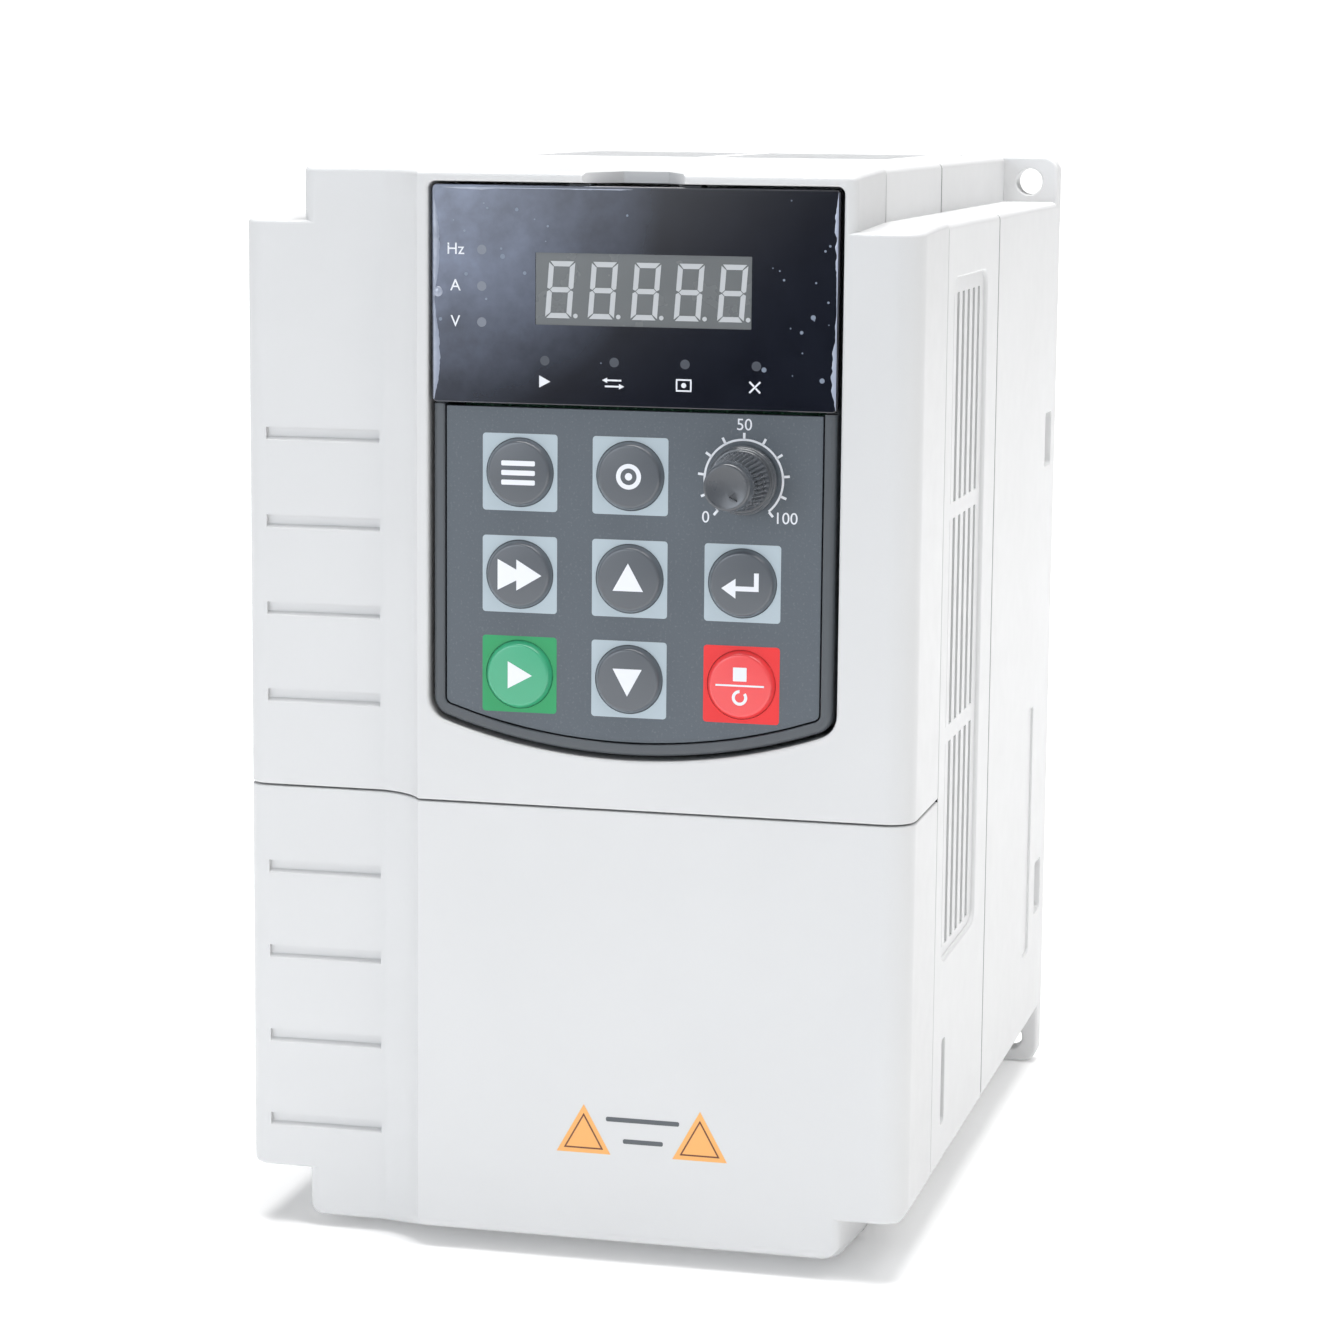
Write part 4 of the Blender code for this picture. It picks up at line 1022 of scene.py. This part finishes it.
def stickers():
    """Two plain orange triangles with a dark line inside, and two grey rules between them."""
    face = FACE
    for name, x, low, high in (("label_left", 3.5, 18.8, 27.3), ("label_right", 23.8, 18.9, 27.5)):
        half = 4.75
        outline = [(x - half, low), (x + half, low), (x, high)]
        ink(name, [outline], ORANGE, face, "terminal_cover", "case")
        outer, inner = shrunk(outline, 0.75), shrunk(outline, 1.0)
        sides = [[outer[i], outer[(i + 1) % 3], inner[(i + 1) % 3], inner[i]] for i in range(3)]
        ink(name + "_line", sides, BROWN, face + INK, "terminal_cover", "case")
    rules = [rectangle(7.4, 20.2, 24.6, 25.4, 0.3), rectangle(10.4, 17.4, 20.9, 21.7, 0.3)]
    ink("label_rules", rules, PRINT_GREY, face, "terminal_cover", "case")


# -------- the nodes that keep their own shape

NODE_LOOKS = (  # by how a node's name starts; the first that fits is taken
    (ALUMINIUM, ("heatsink", "potentiometer_shaft")),
    (STEEL, ("potentiometer", "terminal_screw", "board_post")),
    (WHITE_PAINTED_LIGHTER, ("cable_plate",)),
    (BOARD, ("power_board", "control_board", "keypad_board")),
    (DARK, ("power_module", "supply_transformer", "keypad_plug", "keypad_socket", "display_module",
            "fan_frame", "fan_rotor")),
    (BLOCK, ("precharge_relay", "current_sensor", "power_terminal_block")),
    (BLOCK_GREEN, ("control_terminal_block",)),
    (RUBBER, ("key_mat", "grommet")),
    (SLEEVE, ("dc_capacitor",)),
)


def node_looks():
    for name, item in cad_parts.items():
        fitting = [look for look, starts in NODE_LOOKS if name.startswith(starts)]
        if fitting:
            item.data.materials.clear()
            item.data.materials.append(fitting[0])


# -------- studio

SKY = 0.235
FLOOR_HALF, FLOOR_Y = 3.0, 2.0  # the floor ends a little in front, where the window would mirror it
GLOW_NEAR, GLOW_FAR = 0.14, 1.2  # the floor's own light beside the drive and at the horizon
GLOW_START, GLOW_END = 0.15, 0.80  # how far behind the drive, in metres, the glow starts and is full
GLOW_ASIDE = 0.65  # how much further it starts at the sides


def camera():
    lens = bpy.data.cameras.new("camera")
    lens.sensor_width = 36.0
    lens.lens = 100.76
    lens.clip_start = 0.01
    item = add("camera", lens)
    yaw, pitch, roll = math.radians(13.96), math.radians(-8.85), math.radians(0.51)
    ahead = Vector((-math.sin(yaw) * math.cos(pitch), math.cos(yaw) * math.cos(pitch), math.sin(pitch)))
    level = Vector((math.cos(yaw), math.sin(yaw), 0.0))
    above = level.cross(ahead)
    right = math.cos(roll) * level + math.sin(roll) * above
    up = math.cos(roll) * above - math.sin(roll) * level
    turn = Matrix((right, up, -ahead)).transposed().to_4x4()
    item.matrix_world = Matrix.Translation((0.1647, -0.6650, 0.19825)) @ turn
    bpy.context.scene.camera = item


def sky():
    """An even white tent with a dim opening behind the camera and brighter patches around it."""
    world = bpy.data.worlds.new("studio")
    bpy.context.scene.world = world
    world.use_nodes = True
    tree = world.node_tree
    back = tree.nodes["Background"]
    way = tree.nodes.new("ShaderNodeTexCoord").outputs["Generated"]

    def lobe(direction, inner, outer):
        dot = tree.nodes.new("ShaderNodeVectorMath")
        dot.operation = "DOT_PRODUCT"
        dot.inputs[1].default_value = Vector(direction).normalized()
        tree.links.new(way, dot.inputs[0])
        fade = tree.nodes.new("ShaderNodeMapRange")
        fade.interpolation_type = "SMOOTHSTEP"
        fade.inputs["From Min"].default_value = math.cos(math.radians(outer))
        fade.inputs["From Max"].default_value = math.cos(math.radians(inner))
        tree.links.new(dot.outputs["Value"], fade.inputs["Value"])
        return fade.outputs["Result"]

    left = lobe((-0.42, -0.88, 0.20), 6, 20)
    right = lobe((0.75, -0.35, 0.45), 10, 60)
    above = lobe((0.45, -0.25, 0.86), 6, 13)
    opening = lobe((-0.20, -0.98, -0.05), 9, 17)
    total = calculate(tree, "ADD", calculate(tree, "MULTIPLY", opening, -SKY * 0.97), SKY)
    for patch, strength in ((left, 4.2), (right, 0.30), (above, 6.0)):
        total = calculate(tree, "ADD", total, calculate(tree, "MULTIPLY", patch, strength))
    tint = tree.nodes.new("ShaderNodeMix")
    tint.data_type = "RGBA"
    tint.inputs[6].default_value = (1.0, 1.0, 1.0, 1.0)
    tint.inputs[7].default_value = (0.82, 0.90, 1.0, 1.0)
    tree.links.new(left, tint.inputs["Factor"])
    tree.links.new(tint.outputs[2], back.inputs["Color"])
    path = tree.nodes.new("ShaderNodeLightPath")
    total = calculate(tree, "MAXIMUM", total, calculate(tree, "MULTIPLY", path.outputs["Is Camera Ray"], 1.2))
    tree.links.new(total, back.inputs["Strength"])


def light(name, place, target, size, power):
    lamp = bpy.data.lights.new(name, "AREA")
    lamp.size = size
    lamp.energy = power
    item = add(name, lamp)
    item.location = place
    item.rotation_euler = (Vector(target) - Vector(place)).to_track_quat("-Z", "Y").to_euler()


def floor():
    shape = bmesh.new()
    bmesh.ops.create_grid(shape, x_segments=1, y_segments=1, size=FLOOR_HALF)
    item = make("studio_floor", shape)
    item.location = (0.0, FLOOR_Y, cad_box[0][2] - 0.0002)
    look = Look("floor_paper", (0.93, 0.93, 0.93), 0.8)
    look.mottle(2.0, 0.005)
    look.put("Emission Color", (1.0, 1.0, 1.0, 1.0))
    apart = look.tree.nodes.new("ShaderNodeSeparateXYZ")
    look.link(look.space, apart.inputs[0])
    aside = calculate(look.tree, "SUBTRACT", calculate(look.tree, "ABSOLUTE", apart.outputs["X"], 0.0),
                      FLOOR_Y + GLOW_ASIDE)
    away = calculate(look.tree, "MAXIMUM", apart.outputs["Y"], aside)
    look.link(look.spread(away, GLOW_START - FLOOR_Y, GLOW_END - FLOOR_Y, GLOW_NEAR, GLOW_FAR),
              look.shader.inputs["Emission Strength"])
    item.data.materials.append(look.material)


camera()
sky()
floor()
light("overhead", (0.0, 0.05, 1.3), (0, 0, 0), 0.8, 20.0)
light("left_box", (-0.75, -0.40, 0.42), (0, -0.07, 0.10), 0.6, 0.6)
upper_cover()
terminal_cover()
rear_chassis()
mid_housing()
seam_shade_strips()
fan_cover()
keypad_rim()
latches()
faceplate()
patches()
keys()
legends()
dial()
knob()
display()
protective_film()
labels()
stickers()
node_looks()
bpy.context.scene.view_settings.view_transform = "Standard"
